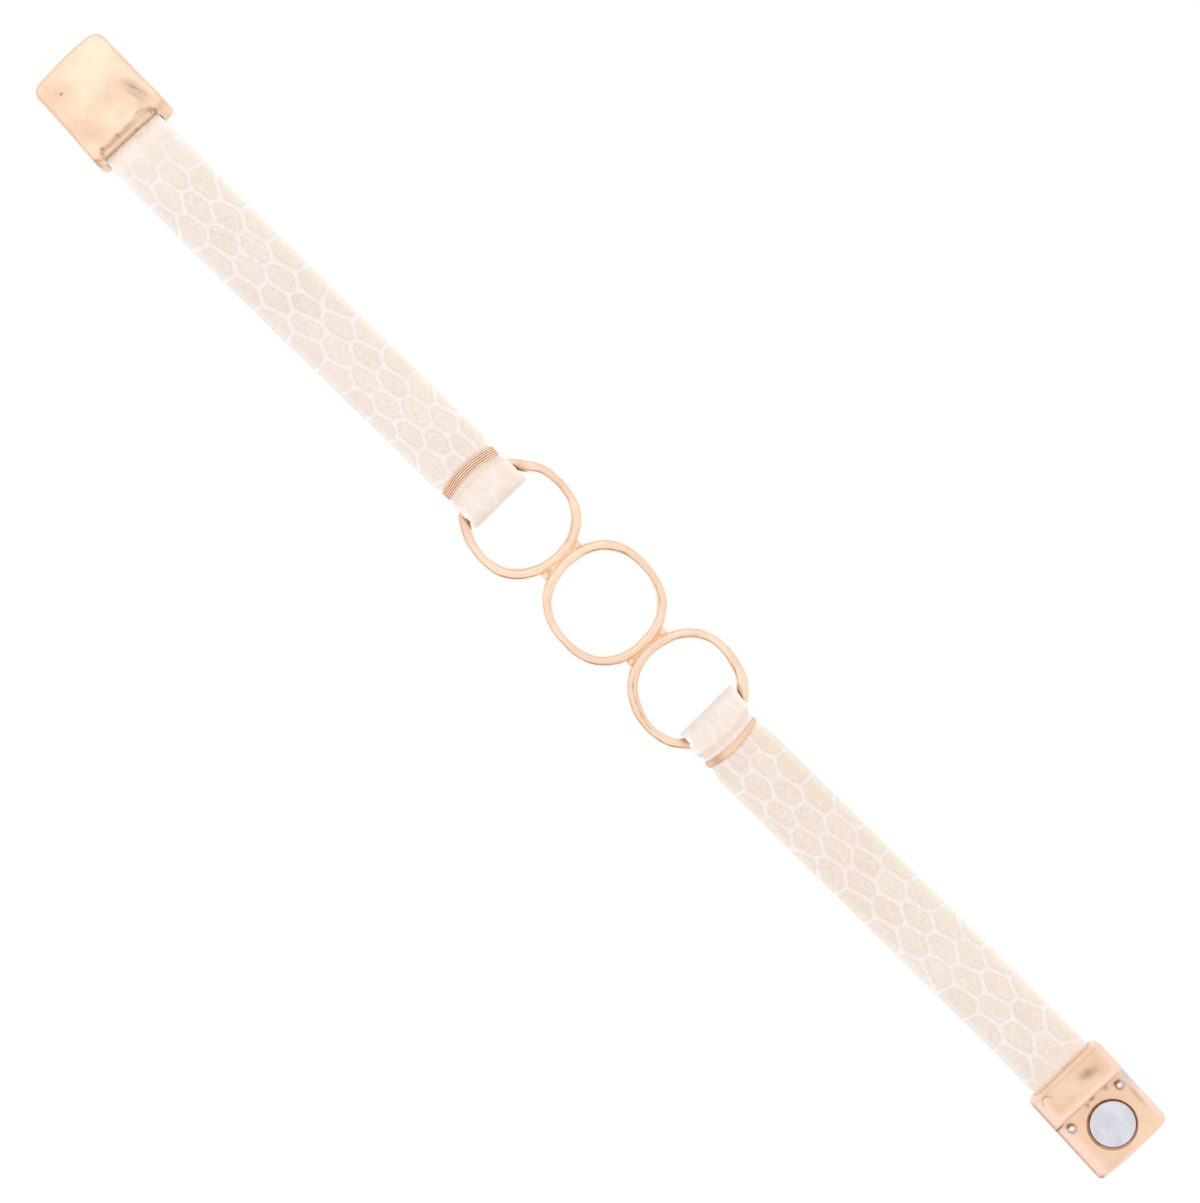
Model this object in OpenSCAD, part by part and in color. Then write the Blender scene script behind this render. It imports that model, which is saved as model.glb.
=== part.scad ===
// Magnetic bracelet, lying open with its embossed side up. Millimetres.
// X runs from the cover half of the clasp to the base half, Y across the straps, Z up from the table.
// Each strap is one strip of leather folded round a ring, and both its ends sit in a half of the clasp.

/* [Clasp] */
// Length of the cover half, from its free end to the mouth of its pocket
cover_l = 14.15; // [14:0.05:14.2]
// Length of the base half, from its free end to the mouth of its pocket
base_l = 14; // [13.9:0.05:14.1]
// Width of each half
half_w = 11.8; // [11.6:0.1:12.4]
// Height of each half at its pocket
half_t = 5.4; // [5.3:0.1:5.8]
// Length of the pocket
pocket_l = 4.9; // [4.8:0.1:5]
// Radius of the corners seen from above
corner_r = 0.8; // [0.6:0.1:1]
// Radius of the corners at the cover's free end
cover_corner_r = 1.4; // [1:0.1:1.6]
// Radius of the worn edges on top
edge_r = 0.5; // [0.3:0.1:0.6]
// How far the cover's free end bulges at its middle
cover_bulge = 0.6; // [0.3:0.05:0.7]
// How far the base's free end bulges at its middle
base_bulge = 0.25; // [0.15:0.05:0.35]
// Height of the floor under the strap slot
slot_floor = 1.1; // [1:0.05:1.2]
// Height of the strap slot
slot_h = 2.3; // [2.25:0.05:2.4]
// Width of the strap slot
slot_w = 9.6; // [9.5:0.1:9.8]
// Depth of the strap slot
slot_l = 3.6; // [3.5:0.1:3.8]
// How far the cover's roof is pressed down along its lip
lip_drop = 0.8; // [0.5:0.1:1]
// Length of the slope that leads down to the lip
lip_slope = 0.7; // [0.5:0.1:0.9]
// Length of the lip below the slope
lip_l = 0.85; // [0.6:0.05:1]
// Turn of the cover half seen from above
cover_turn = -2; // [-3:0.5:-1]
// Turn of the base half seen from above
base_turn = -2; // [-3:0.1:-1.5]

/* [Magnets] */
// Diameter of each disc magnet
magnet_d = 6; // [5.8:0.05:6]
// Thickness of each disc magnet
magnet_t = 1.9; // [1.5:0.1:1.9]
// Diameter of the recess that a magnet sits in
recess_d = 6.66; // [6.54:0.02:6.7]
// Distance from the base's free end to its magnet's centre
magnet_a = 4.45; // [4.3:0.05:4.6]
// How far the base's magnet is set off toward +Y
magnet_off = 0.08; // [0:0.02:0.24]

/* [Pips] */
// Diameter of the two pips on the base's ledge
pip_d = 1.3; // [1.1:0.1:1.4]
// Height of the pips
pip_h = 0.55; // [0.4:0.05:0.6]
// Distance from the step to the pips' centres
pip_in = 1.5; // [1.45:0.05:1.7]
// Distance from the middle of the ledge to the pips' centres
pip_y = 4.2; // [4.1:0.05:4.3]

/* [Straps] */
// Width of a strap
strap_w = 9.4; // [9.2:0.1:9.4]
// Width of a strap where the wire binds it
bound_w = 8.45; // [8.3:0.05:8.7]
// Thickness of one layer of leather
ply = 1; // [0.95:0.05:1]
// Slit between the two layers
slit = 0.04; // [0.03:0.01:0.05]
// Height of the fold that holds the ring's wire
eye_h = 3.6; // [3.6:0.05:3.8]
// How far the wire squeezes the two layers together
squeeze = 0.2; // [0.1:0.05:0.3]
// How much the bound leather domes up at its middle
dome = 0.3; // [0.1:0.05:0.35]
// How far the wire holds the leather off the table
bound_lift = 0.36; // [0.35:0.01:0.4]

/* [Wire binding] */
// Diameter of the binding wire
bind_d = 0.3; // [0.24:0.02:0.3]
// Distance from one turn to the next
bind_pitch = 0.32; // [0.32:0.01:0.33]
// Turns on the left strap
left_turns = 5; // [4:1:5]
// Turns on the right strap
right_turns = 4; // [3:1:4]
// Gap between the leather and the wire
bind_gap = 0.04; // [0.03:0.01:0.05]

/* [Rings] */
// Diameter of the rings' wire
wire_d = 1.5; // [1.4:0.02:1.5]
// Height of the rings' wire above the table, at its middle
ring_z = 1.8; // [1.8:0.01:1.8]
// Half length of each solder joint across the bracelet
joint_y = 3.75; // [3:0.05:3.9]
// Thickness of each solder joint
joint_t = 1.1; // [0.8:0.1:1.2]

/* [Hidden] */

metal = [0.93, 0.79, 0.7];
leather = [0.93, 0.88, 0.81];
steel = [0.82, 0.82, 0.84];

// Places along the bracelet, from the middle of its whole length
cover_step_x = -89.17;
base_mouth_x = 85.18;
left_fold_x = -18.41;
right_fold_x = 19.17;
cover_step_y = -1.05;
base_mouth_y = -0.08;

// Rings: centre x, centre y, inner radius
rings = [
    [-15.49, -0.14, 6.44],
    [0.17, 0, 6.63],
    [15.72, -0.09, 6.36]
];
RING_X = 0;
RING_Y = 1;
RING_R = 2;

// Middle line of each strap seen from above: x, y
left_line = [[-88.6, -1.34], [-85, -1.4], [-80, -1.47], [-71, -1.48], [-55, -1.22],
             [-39, -0.82], [-26, -0.62], [-18.4, -0.51]];
right_line = [[19.2, -0.35], [25.3, -0.93], [31, -0.82], [50, -0.5], [58, -0.37],
              [76, -0.12], [85.2, -0.1], [89, -0.22]];

// Hammer marks on top of the cover: distance from the free end, distance across, radius, depth
cover_marks = [
    [2.7, 2.9, 1.3, 0.05],
    [3.3, 0.2, 1.4, 0.04],
    [2.4, -2.5, 1.1, 0.04],
    [5.9, -2.1, 1.6, 0.05],
    [6.2, 1.3, 1.3, 0.04],
    [8.6, 3.7, 1.2, 0.1],
    [10.4, 4.3, 1.1, 0.1],
    [9.2, -0.9, 1.4, 0.05],
    [8.9, -4, 1.2, 0.04],
    [10.8, 1.3, 1.1, 0.04]
];
// Small pit in the cover, in the same columns
cover_pit = [3.4, -3.2, 0.3, 0.16];
// Hammer marks on top of the base's pocket, in the same columns
base_marks = [
    [11.7, 2.2, 1.1, 0.12],
    [11.5, -0.7, 1.2, 0.07],
    [12.2, -3.9, 1, 0.06],
    [11.8, 4.4, 0.8, 0.05]
];
MARK_A = 0;
MARK_V = 1;
MARK_R = 2;
MARK_DEPTH = 3;

plate_t = half_t / 2;
cover_ledge = cover_l - pocket_l;
base_ledge = base_l - pocket_l;
cover_slot_off = -0.25;
// The cover lies tipped over its step, with the lower edge of its free end on the table
cover_tip = atan(plate_t / cover_ledge);
// With the clasp closed, the base's free end stays this far from the cover's step
closed_gap = 0.3;
cover_magnet_a = cover_ledge - closed_gap - magnet_a;
cover_pip_in = pip_in + cover_ledge - base_ledge - closed_gap;

// Place of a strap's middle layer where it leaves each pocket
slot_mid = slot_floor + slot_h / 2;
cover_exit_x = cover_step_x + pocket_l * cos(cover_tip) - slot_mid * sin(cover_tip);
cover_exit_z = pocket_l * sin(cover_tip) + slot_mid * cos(cover_tip);
exit_w = 9.2;
flat_z = ply + slit / 2;

eye_r = eye_h / 2;
eye_gap_r = eye_r - ply;
// The ring's curve presses the fold thinner at the strap's edges
fold_give = 0.48;
left_bind_in = 6.35;
right_bind_in = 6.1;
bind_bow = 0.62;
pinch_flat = 0.95;
pinch_run = 2.2;

STATIONS_ACROSS = 8;
ARC_STEPS = 8;

function ease(t) = let (u = min(max(t, 0), 1)) u * u * (3 - 2 * u);
function mix(a, b, t) = a + (b - a) * t;

// A rise or fall that starts and ends with given slopes, over the length l
function hermite(a, slope_a, b, slope_b, l, t) =
    let (u = min(max(t, 0), 1))
    a * (2 * pow(u, 3) - 3 * pow(u, 2) + 1) + slope_a * l * (pow(u, 3) - 2 * pow(u, 2) + u)
    + b * (3 * pow(u, 2) - 2 * pow(u, 3)) + slope_b * l * (pow(u, 3) - pow(u, 2));

// One clasp half in its own frame: x from the free end, y across, z up from the pocket's bottom

module rounded_plan(l, end_r, bulge) {
    bulge_r = (pow(half_w / 2, 2) + pow(bulge, 2)) / (2 * bulge);
    intersection() {
        union() {
            translate([end_r, -half_w / 2]) square([l - end_r - corner_r, half_w]);
            translate([0, end_r - half_w / 2]) square([l - corner_r, half_w - 2 * end_r]);
            translate([end_r, corner_r - half_w / 2]) square([l - end_r, half_w - 2 * corner_r]);
            for (side = [-1, 1]) {
                translate([end_r, side * (half_w / 2 - end_r)]) circle(r = end_r, $fn = 48);
                translate([l - corner_r, side * (half_w / 2 - corner_r)]) circle(r = corner_r, $fn = 32);
            }
        }
        translate([bulge_r, 0]) circle(r = bulge_r, $fn = 360);
    }
}

// A box seen from the side with round corners at its top
module round_topped(l, h, r) {
    square([l, h - r]);
    translate([r, 0]) square([l - 2 * r, h]);
    for (x = [r, l - r]) {
        translate([x, h - r]) circle(r = r, $fn = 32);
    }
}

module cover_profile() {
    difference() {
        round_topped(cover_l, half_t, edge_r);
        translate([-1, -1]) square([cover_ledge + 1, plate_t + 1]);
    }
}

module base_profile() {
    translate([base_ledge, 0]) round_topped(pocket_l, half_t, edge_r);
    round_topped(base_l - edge_r, plate_t, edge_r);
}

module end_profile(h) {
    translate([-half_w / 2, 0]) round_topped(half_w, h, edge_r);
}

// The body is what its plan, its side profile (the child) and its end profiles have in common
module half_body(l, end_r, bulge, end_h) {
    intersection() {
        linear_extrude(half_t) rounded_plan(l, end_r, bulge);
        translate([0, half_w, 0]) rotate([90, 0, 0]) linear_extrude(2 * half_w) children();
        union() {
            rotate([90, 0, 90]) linear_extrude(l) end_profile(end_h);
            translate([l - pocket_l, 0, 0]) rotate([90, 0, 90]) linear_extrude(pocket_l) end_profile(half_t);
        }
    }
}

module strap_slot(l, off) {
    translate([l - slot_l, off - slot_w / 2, slot_floor]) cube([slot_l + 1, slot_w, slot_h]);
}

// The roof behind the cover's lip is pressed down between the side walls
module pressed_lip() {
    w = slot_w - 1;
    translate([cover_l - lip_l, cover_slot_off + w / 2, half_t]) rotate([90, 0, 0]) linear_extrude(w)
        polygon([
            [-lip_slope - lip_slope / lip_drop, 1],
            [0, -lip_drop],
            [lip_l + 1, -lip_drop],
            [lip_l + 1, 1]
        ]);
}

module hammer_mark(row) {
    r = row[MARK_R];
    depth = row[MARK_DEPTH];
    ball_r = (r * r + depth * depth) / (2 * depth);
    translate([row[MARK_A], row[MARK_V], half_t - depth + ball_r]) sphere(r = ball_r, $fn = 96);
}

module clasp_half_cover() {
    difference() {
        half_body(cover_l, cover_corner_r, cover_bulge, half_t) cover_profile();
        strap_slot(cover_l, cover_slot_off);
        // The recess faces down, where the base's magnet meets it when the bracelet is closed
        translate([cover_magnet_a, 0, plate_t - 1]) cylinder(d = recess_d, h = magnet_t + 1.05, $fn = 96);
        for (y = [-pip_y, pip_y]) {
            translate([cover_pip_in, y, plate_t - 1]) cylinder(d = pip_d + 0.2, h = pip_h + 1.1, $fn = 48);
        }
        pressed_lip();
        for (row = cover_marks) {
            hammer_mark(row);
        }
        hammer_mark(cover_pit);
    }
}

module clasp_half_base() {
    difference() {
        half_body(base_l, corner_r, base_bulge, plate_t) base_profile();
        strap_slot(base_l, 0);
        translate([magnet_a, 0, plate_t - magnet_t - 0.05]) cylinder(d = recess_d, h = half_t, $fn = 96);
        for (row = base_marks) {
            hammer_mark(row);
        }
    }
    for (y = [-pip_y, pip_y]) {
        translate([base_ledge - pip_in, y, plate_t - 0.3]) pip();
    }
}

module pip() {
    cap_r = (pow(pip_d / 2, 2) + pow(pip_h, 2)) / (2 * pip_h);
    cylinder(d = pip_d, h = 0.3, $fn = 48);
    intersection() {
        translate([0, 0, 0.3 + pip_h - cap_r]) sphere(r = cap_r, $fn = 64);
        translate([0, 0, 0.15]) cylinder(d = pip_d, h = pip_h + 1, $fn = 48);
    }
}

module magnet_disc() {
    chamfer = 0.15;
    rotate_extrude($fn = 96) polygon([
        [0, 0],
        [magnet_d / 2 - chamfer, 0],
        [magnet_d / 2, chamfer],
        [magnet_d / 2, magnet_t - chamfer],
        [magnet_d / 2 - chamfer, magnet_t],
        [0, magnet_t]
    ]);
}

// Stands the cover's own frame on the table, tipped over the edge of its step
module place_cover() {
    translate([cover_step_x, cover_step_y, 0]) rotate([0, 0, cover_turn]) rotate([0, -cover_tip, 0])
        translate([-cover_ledge, 0, 0]) children();
}

// Turns the base's own frame round, with its free end toward +X
module place_base() {
    translate([base_mouth_x, base_mouth_y, 0]) rotate([0, 0, base_turn])
        translate([base_l, 0, 0]) mirror([1, 0, 0]) children();
}

// Straps. A strap's stations run from its fold edge (in = 0) toward the clasp

function pinch(in, bind_in) = ease((pinch_flat + pinch_run - abs(in - bind_in)) / pinch_run);

// How open the fold is: none at the binding, full round the ring's wire
function opening(in, bind_in, wire_in) =
    ease((mix(wire_in + wire_d / 2 + 0.38, bind_in, 0.05) - in) / 0.92);
function outer_opening(in, bind_in) = ease((bind_in - pinch_flat - in) / 1.05);

// Each strap: fold edge x, way it runs, where the wire binds it, where the ring's wire lies in it, middle line
left_strap = [left_fold_x, -1, left_bind_in, 4.27, left_line];
right_strap = [right_fold_x, 1, right_bind_in, 3.66, right_line];
FOLD_X = 0;
WAY = 1;
BIND_IN = 2;
WIRE_IN = 3;
LINE = 4;

cover_end_in = left_fold_x - cover_exit_x + slot_l * cos(cover_tip) - 0.25;
base_end_in = base_mouth_x - right_fold_x + slot_l - 0.2;
left_arch_l = 40;
right_arch_l = 14;

// Height and slope of the layers' middle plane along each strap
function left_mid(in) =
    let (to_exit = left_fold_x - in - cover_exit_x)
    to_exit < 0 ? cover_exit_z + to_exit * tan(cover_tip)
    : hermite(cover_exit_z, tan(cover_tip), flat_z, 0, left_arch_l, to_exit / left_arch_l);
function right_mid(in) =
    let (to_exit = base_mouth_x - right_fold_x - in)
    hermite(slot_mid, 0, flat_z, 0, right_arch_l, to_exit / right_arch_l);
function mid_z(s, in) = s[WAY] < 0 ? left_mid(in) : right_mid(in);
function slope(s, in) = (mid_z(s, in + 0.05) - mid_z(s, in - 0.05)) / 0.1;

function bow(s, in, across) =
    bind_bow * pow(across, 2) * ease((s[BIND_IN] + 4 - in) / 3) * ease((in - 2.6) / 2);
function half_width(s, in) =
    let (full = mix(exit_w, strap_w, ease((end_in(s) - 4 - in) / 5)) - 0.2 * ease(1 - in / 2))
    mix(full, bound_w, pinch(in, s[BIND_IN])) / 2;
function end_in(s) = s[WAY] < 0 ? cover_end_in : base_end_in;

// Middle height and half thickness of the pair of layers at a station
function pair_mid(s, in, across) =
    let (p = pinch(in, s[BIND_IN]), bulge = dome * (1 - across * across))
    mix(mid_z(s, in) + p * (bound_lift - squeeze / 2 + bulge / 2), eye_r,
        outer_opening(in, s[BIND_IN]));
function pair_half(s, in, across) =
    let (p = pinch(in, s[BIND_IN]), bulge = dome * (1 - across * across))
    mix(ply + slit / 2 - p * (squeeze - bulge) / 2, eye_r, outer_opening(in, s[BIND_IN]));
function gap_half(s, in) = mix(slit / 2, eye_gap_r, opening(in, s[BIND_IN], s[WIRE_IN]));
function gap_mid(s, in, across) =
    mix(pair_mid(s, in, across), eye_r, min(1, 1.7 * opening(in, s[BIND_IN], s[WIRE_IN])));

// A point of the strap: a station, a place across from -1 to 1, and a height over the middle plane
function strap_point(s, in, across, mid, off) =
    let (a = atan(slope(s, in)),
         x = s[FOLD_X] + s[WAY] * (in - bow(s, in, across) + off * -sin(a)),
         y = lookup(s[FOLD_X] + s[WAY] * in, s[LINE]) + across * half_width(s, in))
    [x, y, mid + off * cos(a)];

// Stations closer together round the eye and the binding than along the flat
function stations(s) = concat(
    [for (i = [0 : 21]) eye_r + 0.1 + i * 0.3],
    [for (i = [1 : 3]) eye_r + 6.4 + i * 1.2],
    [for (i = [1 : 14]) mix(eye_r + 10, end_in(s), i / 14)]
);

// The folded strip's section as pairs of an outer and an inner point, from one end round the fold to the other
function section(s, across) = let (list = stations(s), n = len(list)) concat(
    [for (i = [n - 1 : -1 : 0]) let (in = list[i]) [
        strap_point(s, in, across, pair_mid(s, in, across), -pair_half(s, in, across)),
        strap_point(s, in, across, gap_mid(s, in, across), -gap_half(s, in))
    ]],
    [for (k = [0 : ARC_STEPS]) let (a = -90 + 180 * k / ARC_STEPS) [
        fold_point(s, across, a, eye_r, eye_r),
        fold_point(s, across, a, eye_gap_r + fold_give * across * across, eye_gap_r)
    ]],
    [for (in = list) [
        strap_point(s, in, across, pair_mid(s, in, across), pair_half(s, in, across)),
        strap_point(s, in, across, gap_mid(s, in, across), gap_half(s, in))
    ]]
);
function fold_point(s, across, a, reach, r) =
    [s[FOLD_X] + s[WAY] * (eye_r - reach * cos(a)),
     lookup(s[FOLD_X], s[LINE]) + across * half_width(s, 0),
     eye_r + r * sin(a)];

// Both triangles of a four-sided patch, turned over when flip is true
function patch(a, b, c, d, flip) = flip ? [[c, b, a], [d, c, a]] : [[a, b, c], [a, c, d]];

module strap(s) {
    m = STATIONS_ACROSS;
    rows = [for (j = [0 : m]) section(s, -1 + 2 * j / m)];
    k = len(rows[0]);
    points = [for (row = rows, pair = row, p = pair) p];
    flip = s[WAY] > 0;
    faces = concat(
        [for (j = [0 : m - 1], i = [0 : k - 2], side = [0, 1])
            let (a = (j * k + i) * 2 + side, b = a + 2, c = b + 2 * k, d = a + 2 * k)
            each patch(a, b, c, d, (side == 1) != flip)],
        [for (j = [0, m], i = [0 : k - 2])
            let (a = (j * k + i) * 2, b = a + 2)
            each patch(a, b, b + 1, a + 1, (j == 0) != flip)],
        [for (j = [0 : m - 1], i = [0, k - 1])
            let (a = (j * k + i) * 2, d = a + 2 * k)
            each patch(a, a + 1, d + 1, d, (i == 0) != flip)]
    );
    polyhedron(points, faces);
}

// Wire wound round a strap. One turn passes the section's corners and its slightly bowed top and bottom

function turn_points(s) = let (
    in = s[BIND_IN],
    hw = half_width(s, in),
    off = bind_gap + bind_d / 2,
    flats = [-0.9, -0.45, 0, 0.45, 0.9],
    low = pair_mid(s, in, 1) - pair_half(s, in, 1),
    high_edge = pair_mid(s, in, 1) + pair_half(s, in, 1)
) concat(
    [for (c = flats) [c * hw, low - off]],
    [for (a = [-90, -45, 0]) [hw + off * cos(a), low + off * sin(a)]],
    [for (a = [0, 45, 90]) [hw + off * cos(a), high_edge + off * sin(a)]],
    [for (c = -flats) [c * hw, pair_mid(s, in, c) + pair_half(s, in, c) + off]],
    [for (a = [90, 135, 180]) [-hw + off * cos(a), high_edge + off * sin(a)]],
    [for (a = [180, 225, 270]) [-hw + off * cos(a), low + off * sin(a)]]
);

module binding(s, turns) {
    loop = turn_points(s);
    n = len(loop);
    hw = half_width(s, s[BIND_IN]);
    start = s[BIND_IN] - turns * bind_pitch / 2;
    path = [for (i = [0 : n * turns]) let (
        p = loop[i % n],
        in = start + bind_pitch * i / n,
        x = s[FOLD_X] + s[WAY] * (in - bind_bow * pow(min(abs(p[0]) / hw, 1.04), 2)),
        y = lookup(s[FOLD_X] + s[WAY] * in, s[LINE]) + p[0]
    ) [x, y, p[1]]];
    tube(path, bind_d / 2, 6);
}

function unit(v) = v / norm(v);

// A round wire along a path that stays nearly at right angles to X
module tube(path, r, sides) {
    n = len(path);
    points = [for (i = [0 : n - 1]) let (
        along = unit(path[min(i + 1, n - 1)] - path[max(i - 1, 0)]),
        e = unit([1, 0, 0] - along[0] * along),
        f = cross(along, e)
    ) each [for (k = [0 : sides - 1]) path[i] + r * (cos(360 * k / sides) * e + sin(360 * k / sides) * f)]];
    faces = concat(
        [[for (k = [0 : sides - 1]) k]],
        [for (i = [0 : n - 2], k = [0 : sides - 1]) let (
            a = i * sides + k,
            b = i * sides + (k + 1) % sides
        ) each [[a, a + sides, b], [b, a + sides, b + sides]]],
        [[for (k = [sides - 1 : -1 : 0]) (n - 1) * sides + k]]
    );
    polyhedron(points, faces);
}

// Sub-parts

module clasp_cover() {
    color(metal) place_cover() clasp_half_cover();
}

module cover_magnet() {
    color(steel) place_cover() translate([cover_magnet_a, 0, plate_t + 0.02]) magnet_disc();
}

module clasp_base() {
    color(metal) place_base() clasp_half_base();
}

module base_magnet() {
    color(steel) place_base() translate([magnet_a, magnet_off, plate_t - magnet_t - 0.02]) magnet_disc();
}

module strap_left() {
    color(leather) strap(left_strap);
}

module strap_right() {
    color(leather) strap(right_strap);
}

module binding_left() {
    color(metal) binding(left_strap, left_turns);
}

module binding_right() {
    color(metal) binding(right_strap, right_turns);
}

module ring(row) {
    translate([row[RING_X], row[RING_Y], ring_z]) rotate_extrude($fn = 120)
        translate([row[RING_R] + wire_d / 2, 0]) circle(d = wire_d, $fn = 32);
}

// Solder fills the gap between two rings up to their wires' middle lines
module solder_joint(a, b) {
    left = a[RING_X] + a[RING_R] - 1;
    right = b[RING_X] - b[RING_R] + 1;
    y = (a[RING_Y] + b[RING_Y]) / 2;
    translate([0, 0, ring_z - joint_t / 2]) linear_extrude(joint_t) difference() {
        translate([left, y - joint_y]) square([right - left, 2 * joint_y]);
        for (row = [a, b]) {
            translate([row[RING_X], row[RING_Y]]) circle(r = row[RING_R] + wire_d / 2, $fn = 120);
        }
    }
}

module ring_trio() {
    color(metal) union() {
        for (row = rings) {
            ring(row);
        }
        for (i = [0 : len(rings) - 2]) {
            solder_joint(rings[i], rings[i + 1]);
        }
    }
}

clasp_cover();
cover_magnet();
strap_left();
binding_left();
ring_trio();
binding_right();
strap_right();
clasp_base();
base_magnet();
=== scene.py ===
# %% [markdown]
# # A magnetic bracelet, laid open
# Two embossed leather straps, a row of three soldered wire rings and a hammered clasp with disc
# magnets. The measured model of the bracelet is loaded first and nothing in it is moved. Every
# piece below is built where that model has its plain solid, and then stands in for it.

# %% Open the measured model
import math

import bpy
import numpy as np
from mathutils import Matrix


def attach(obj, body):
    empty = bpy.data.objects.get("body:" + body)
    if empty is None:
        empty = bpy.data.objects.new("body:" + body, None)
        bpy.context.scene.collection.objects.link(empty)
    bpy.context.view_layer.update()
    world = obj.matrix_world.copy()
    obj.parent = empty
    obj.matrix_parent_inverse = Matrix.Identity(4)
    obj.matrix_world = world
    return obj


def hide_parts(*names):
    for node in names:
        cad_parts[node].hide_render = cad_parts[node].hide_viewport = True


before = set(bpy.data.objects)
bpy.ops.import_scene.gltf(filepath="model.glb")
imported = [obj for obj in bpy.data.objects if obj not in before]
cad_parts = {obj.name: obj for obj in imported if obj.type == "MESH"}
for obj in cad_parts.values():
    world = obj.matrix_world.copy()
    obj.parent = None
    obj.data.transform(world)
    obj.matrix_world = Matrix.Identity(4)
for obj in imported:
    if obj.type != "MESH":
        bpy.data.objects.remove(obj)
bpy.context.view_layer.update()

print("solids:", sorted(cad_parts))

# %% [markdown]
# Jewellery is measured in millimetres and Blender works in metres, so each shape is worked out in
# millimetres and made small once, when its mesh is written. One helper writes every mesh and
# stores the paint masks that the finishes read.

# %% Writing a mesh
MM = 0.001


def put_on_table(name, points, faces, solids, masks=None):
    """A shaded mesh from points in mm, standing in for some of the measured solids."""
    mesh = bpy.data.meshes.new(name)
    mesh.from_pydata((np.asarray(points) * MM).tolist(), [], [list(map(int, f)) for f in faces])
    mesh.polygons.foreach_set("use_smooth", np.ones(len(mesh.polygons), bool))
    for mask, values in (masks or {}).items():
        layer = mesh.attributes.new(mask, "FLOAT", "POINT")
        layer.data.foreach_set("value", np.asarray(values, np.float32))
    mesh.update()
    piece = bpy.data.objects.new(name, mesh)
    bpy.context.scene.collection.objects.link(piece)
    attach(piece, "root")
    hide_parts(*solids)
    low, high = np.min(points, 0), np.max(points, 0)
    print(f"{name}: {len(mesh.loops) - 2 * len(mesh.polygons)} triangles,",
          "from", np.round(low, 2), "to", np.round(high, 2), "mm")
    return piece


# %% [markdown]
# The picture was taken from straight above, with the bracelet running from the upper left to the
# lower right. Turning the camera about its own view gives that slant, and the bracelet stays
# along X, where it is easy to measure.

# %% Camera over the bracelet
view_turn = math.radians(45.5066)
view_height = 800
view_x, view_y = -0.40, -0.27
table_seen = 156.79
sensor = 36

camera_data = bpy.data.cameras.new("overhead_camera")
camera_data.sensor_width = sensor
camera_data.lens = sensor * view_height / table_seen
camera_data.clip_start = 0.01
camera_data.clip_end = 10
camera = bpy.data.objects.new("overhead_camera", camera_data)
camera.location = (view_x * MM, view_y * MM, view_height * MM)
camera.rotation_euler = (0, 0, view_turn)
bpy.context.scene.collection.objects.link(camera)
bpy.context.scene.camera = camera
print("lens:", round(camera_data.lens, 2), "mm")

# %% [markdown]
# The light and the finishes are both built from small node recipes. The helpers below add a
# band of noise, a mix of two colours or a painted mask, so each recipe reads as a short list of
# what a jeweller or a leather worker would see: base, variation, marks, gloss, grain.

# %% Tools for node recipes
def linear(r, g, b):
    """A screen colour, each part from 11 to 255, as the light that Blender reckons with."""
    return tuple(((v / 255 + 0.055) / 1.055) ** 2.4 for v in (r, g, b))


class Recipe:
    """A tree of nodes, and short calls that add to it."""

    def __init__(self, tree, place):
        self.tree = tree
        self.place = self.node("ShaderNodeTexCoord")[place]

    def feed(self, source, socket):
        """Join a socket to another node, or give it a number, a colour or a direction."""
        if hasattr(source, "is_output"):
            self.tree.links.new(source, socket)
        else:
            socket.default_value = (*source, 1) if socket.type == "RGBA" else source

    def node(self, kind, inputs=None, **settings):
        """The outputs of a new node with these inputs and settings."""
        made = self.tree.nodes.new(kind)
        for key, value in settings.items():
            setattr(made, key, value)
        for key, value in (inputs or {}).items():
            self.feed(value, made.inputs[key])
        return made.outputs

    def noise(self, size_mm, detail=3, rough=0.55, stretch=(1, 1, 1)):
        """Noise with features about size_mm across, from 0 to 1."""
        spread = self.node("ShaderNodeMapping", {"Vector": self.place, "Scale": stretch})[0]
        return self.node("ShaderNodeTexNoise", {"Vector": spread, "Scale": 1000 / size_mm,
                                                "Detail": detail, "Roughness": rough})["Fac"]

    def band(self, source, low, high, out_low=0.0, out_high=1.0):
        ends = {"From Min": low, "From Max": high, "To Min": out_low, "To Max": out_high}
        return self.node("ShaderNodeMapRange", {"Value": source, **ends})["Result"]

    def mask(self, name):
        return self.node("ShaderNodeAttribute", attribute_name=name)["Fac"]

    def mix(self, amount, first, second, blend="MIX"):
        return self.node("ShaderNodeMix", {"Factor": amount, "A": first, "B": second},
                         data_type="RGBA", blend_type=blend)["Result"]

    def tint(self, colour, stain, source, low, high, most=1.0):
        """Another colour laid over this one where the source runs from low to high."""
        return self.mix(self.band(source, low, high, 0, most), colour, stain)

    def sum(self, *parts):
        total = parts[0]
        for part in parts[1:]:
            total = self.node("ShaderNodeMath", {0: total, 1: part}, operation="ADD")[0]
        return total

    def times(self, source, factor):
        return self.node("ShaderNodeMath", {0: source, 1: factor}, operation="MULTIPLY")[0]


class Finish(Recipe):
    """A material's recipe, which ends in one shader."""

    def __init__(self, name):
        self.material = bpy.data.materials.new(name)
        self.material.use_nodes = True
        super().__init__(self.material.node_tree, "Object")
        self.shader = self.tree.nodes["Principled BSDF"]

    def relief(self, height, depth_mm, strength):
        """Bump of the given depth where height runs from 0 to 1."""
        bump = {"Strength": strength, "Distance": depth_mm * MM, "Height": height}
        self.set(Normal=self.node("ShaderNodeBump", bump)[0])

    def set(self, **values):
        for name, value in values.items():
            self.feed(value, self.shader.inputs[name.replace("_", " ")])

    def dress(self, *pieces):
        for piece in pieces:
            piece.data.materials.append(self.material)
            print(piece.name, "wears", self.material.name)


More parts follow.
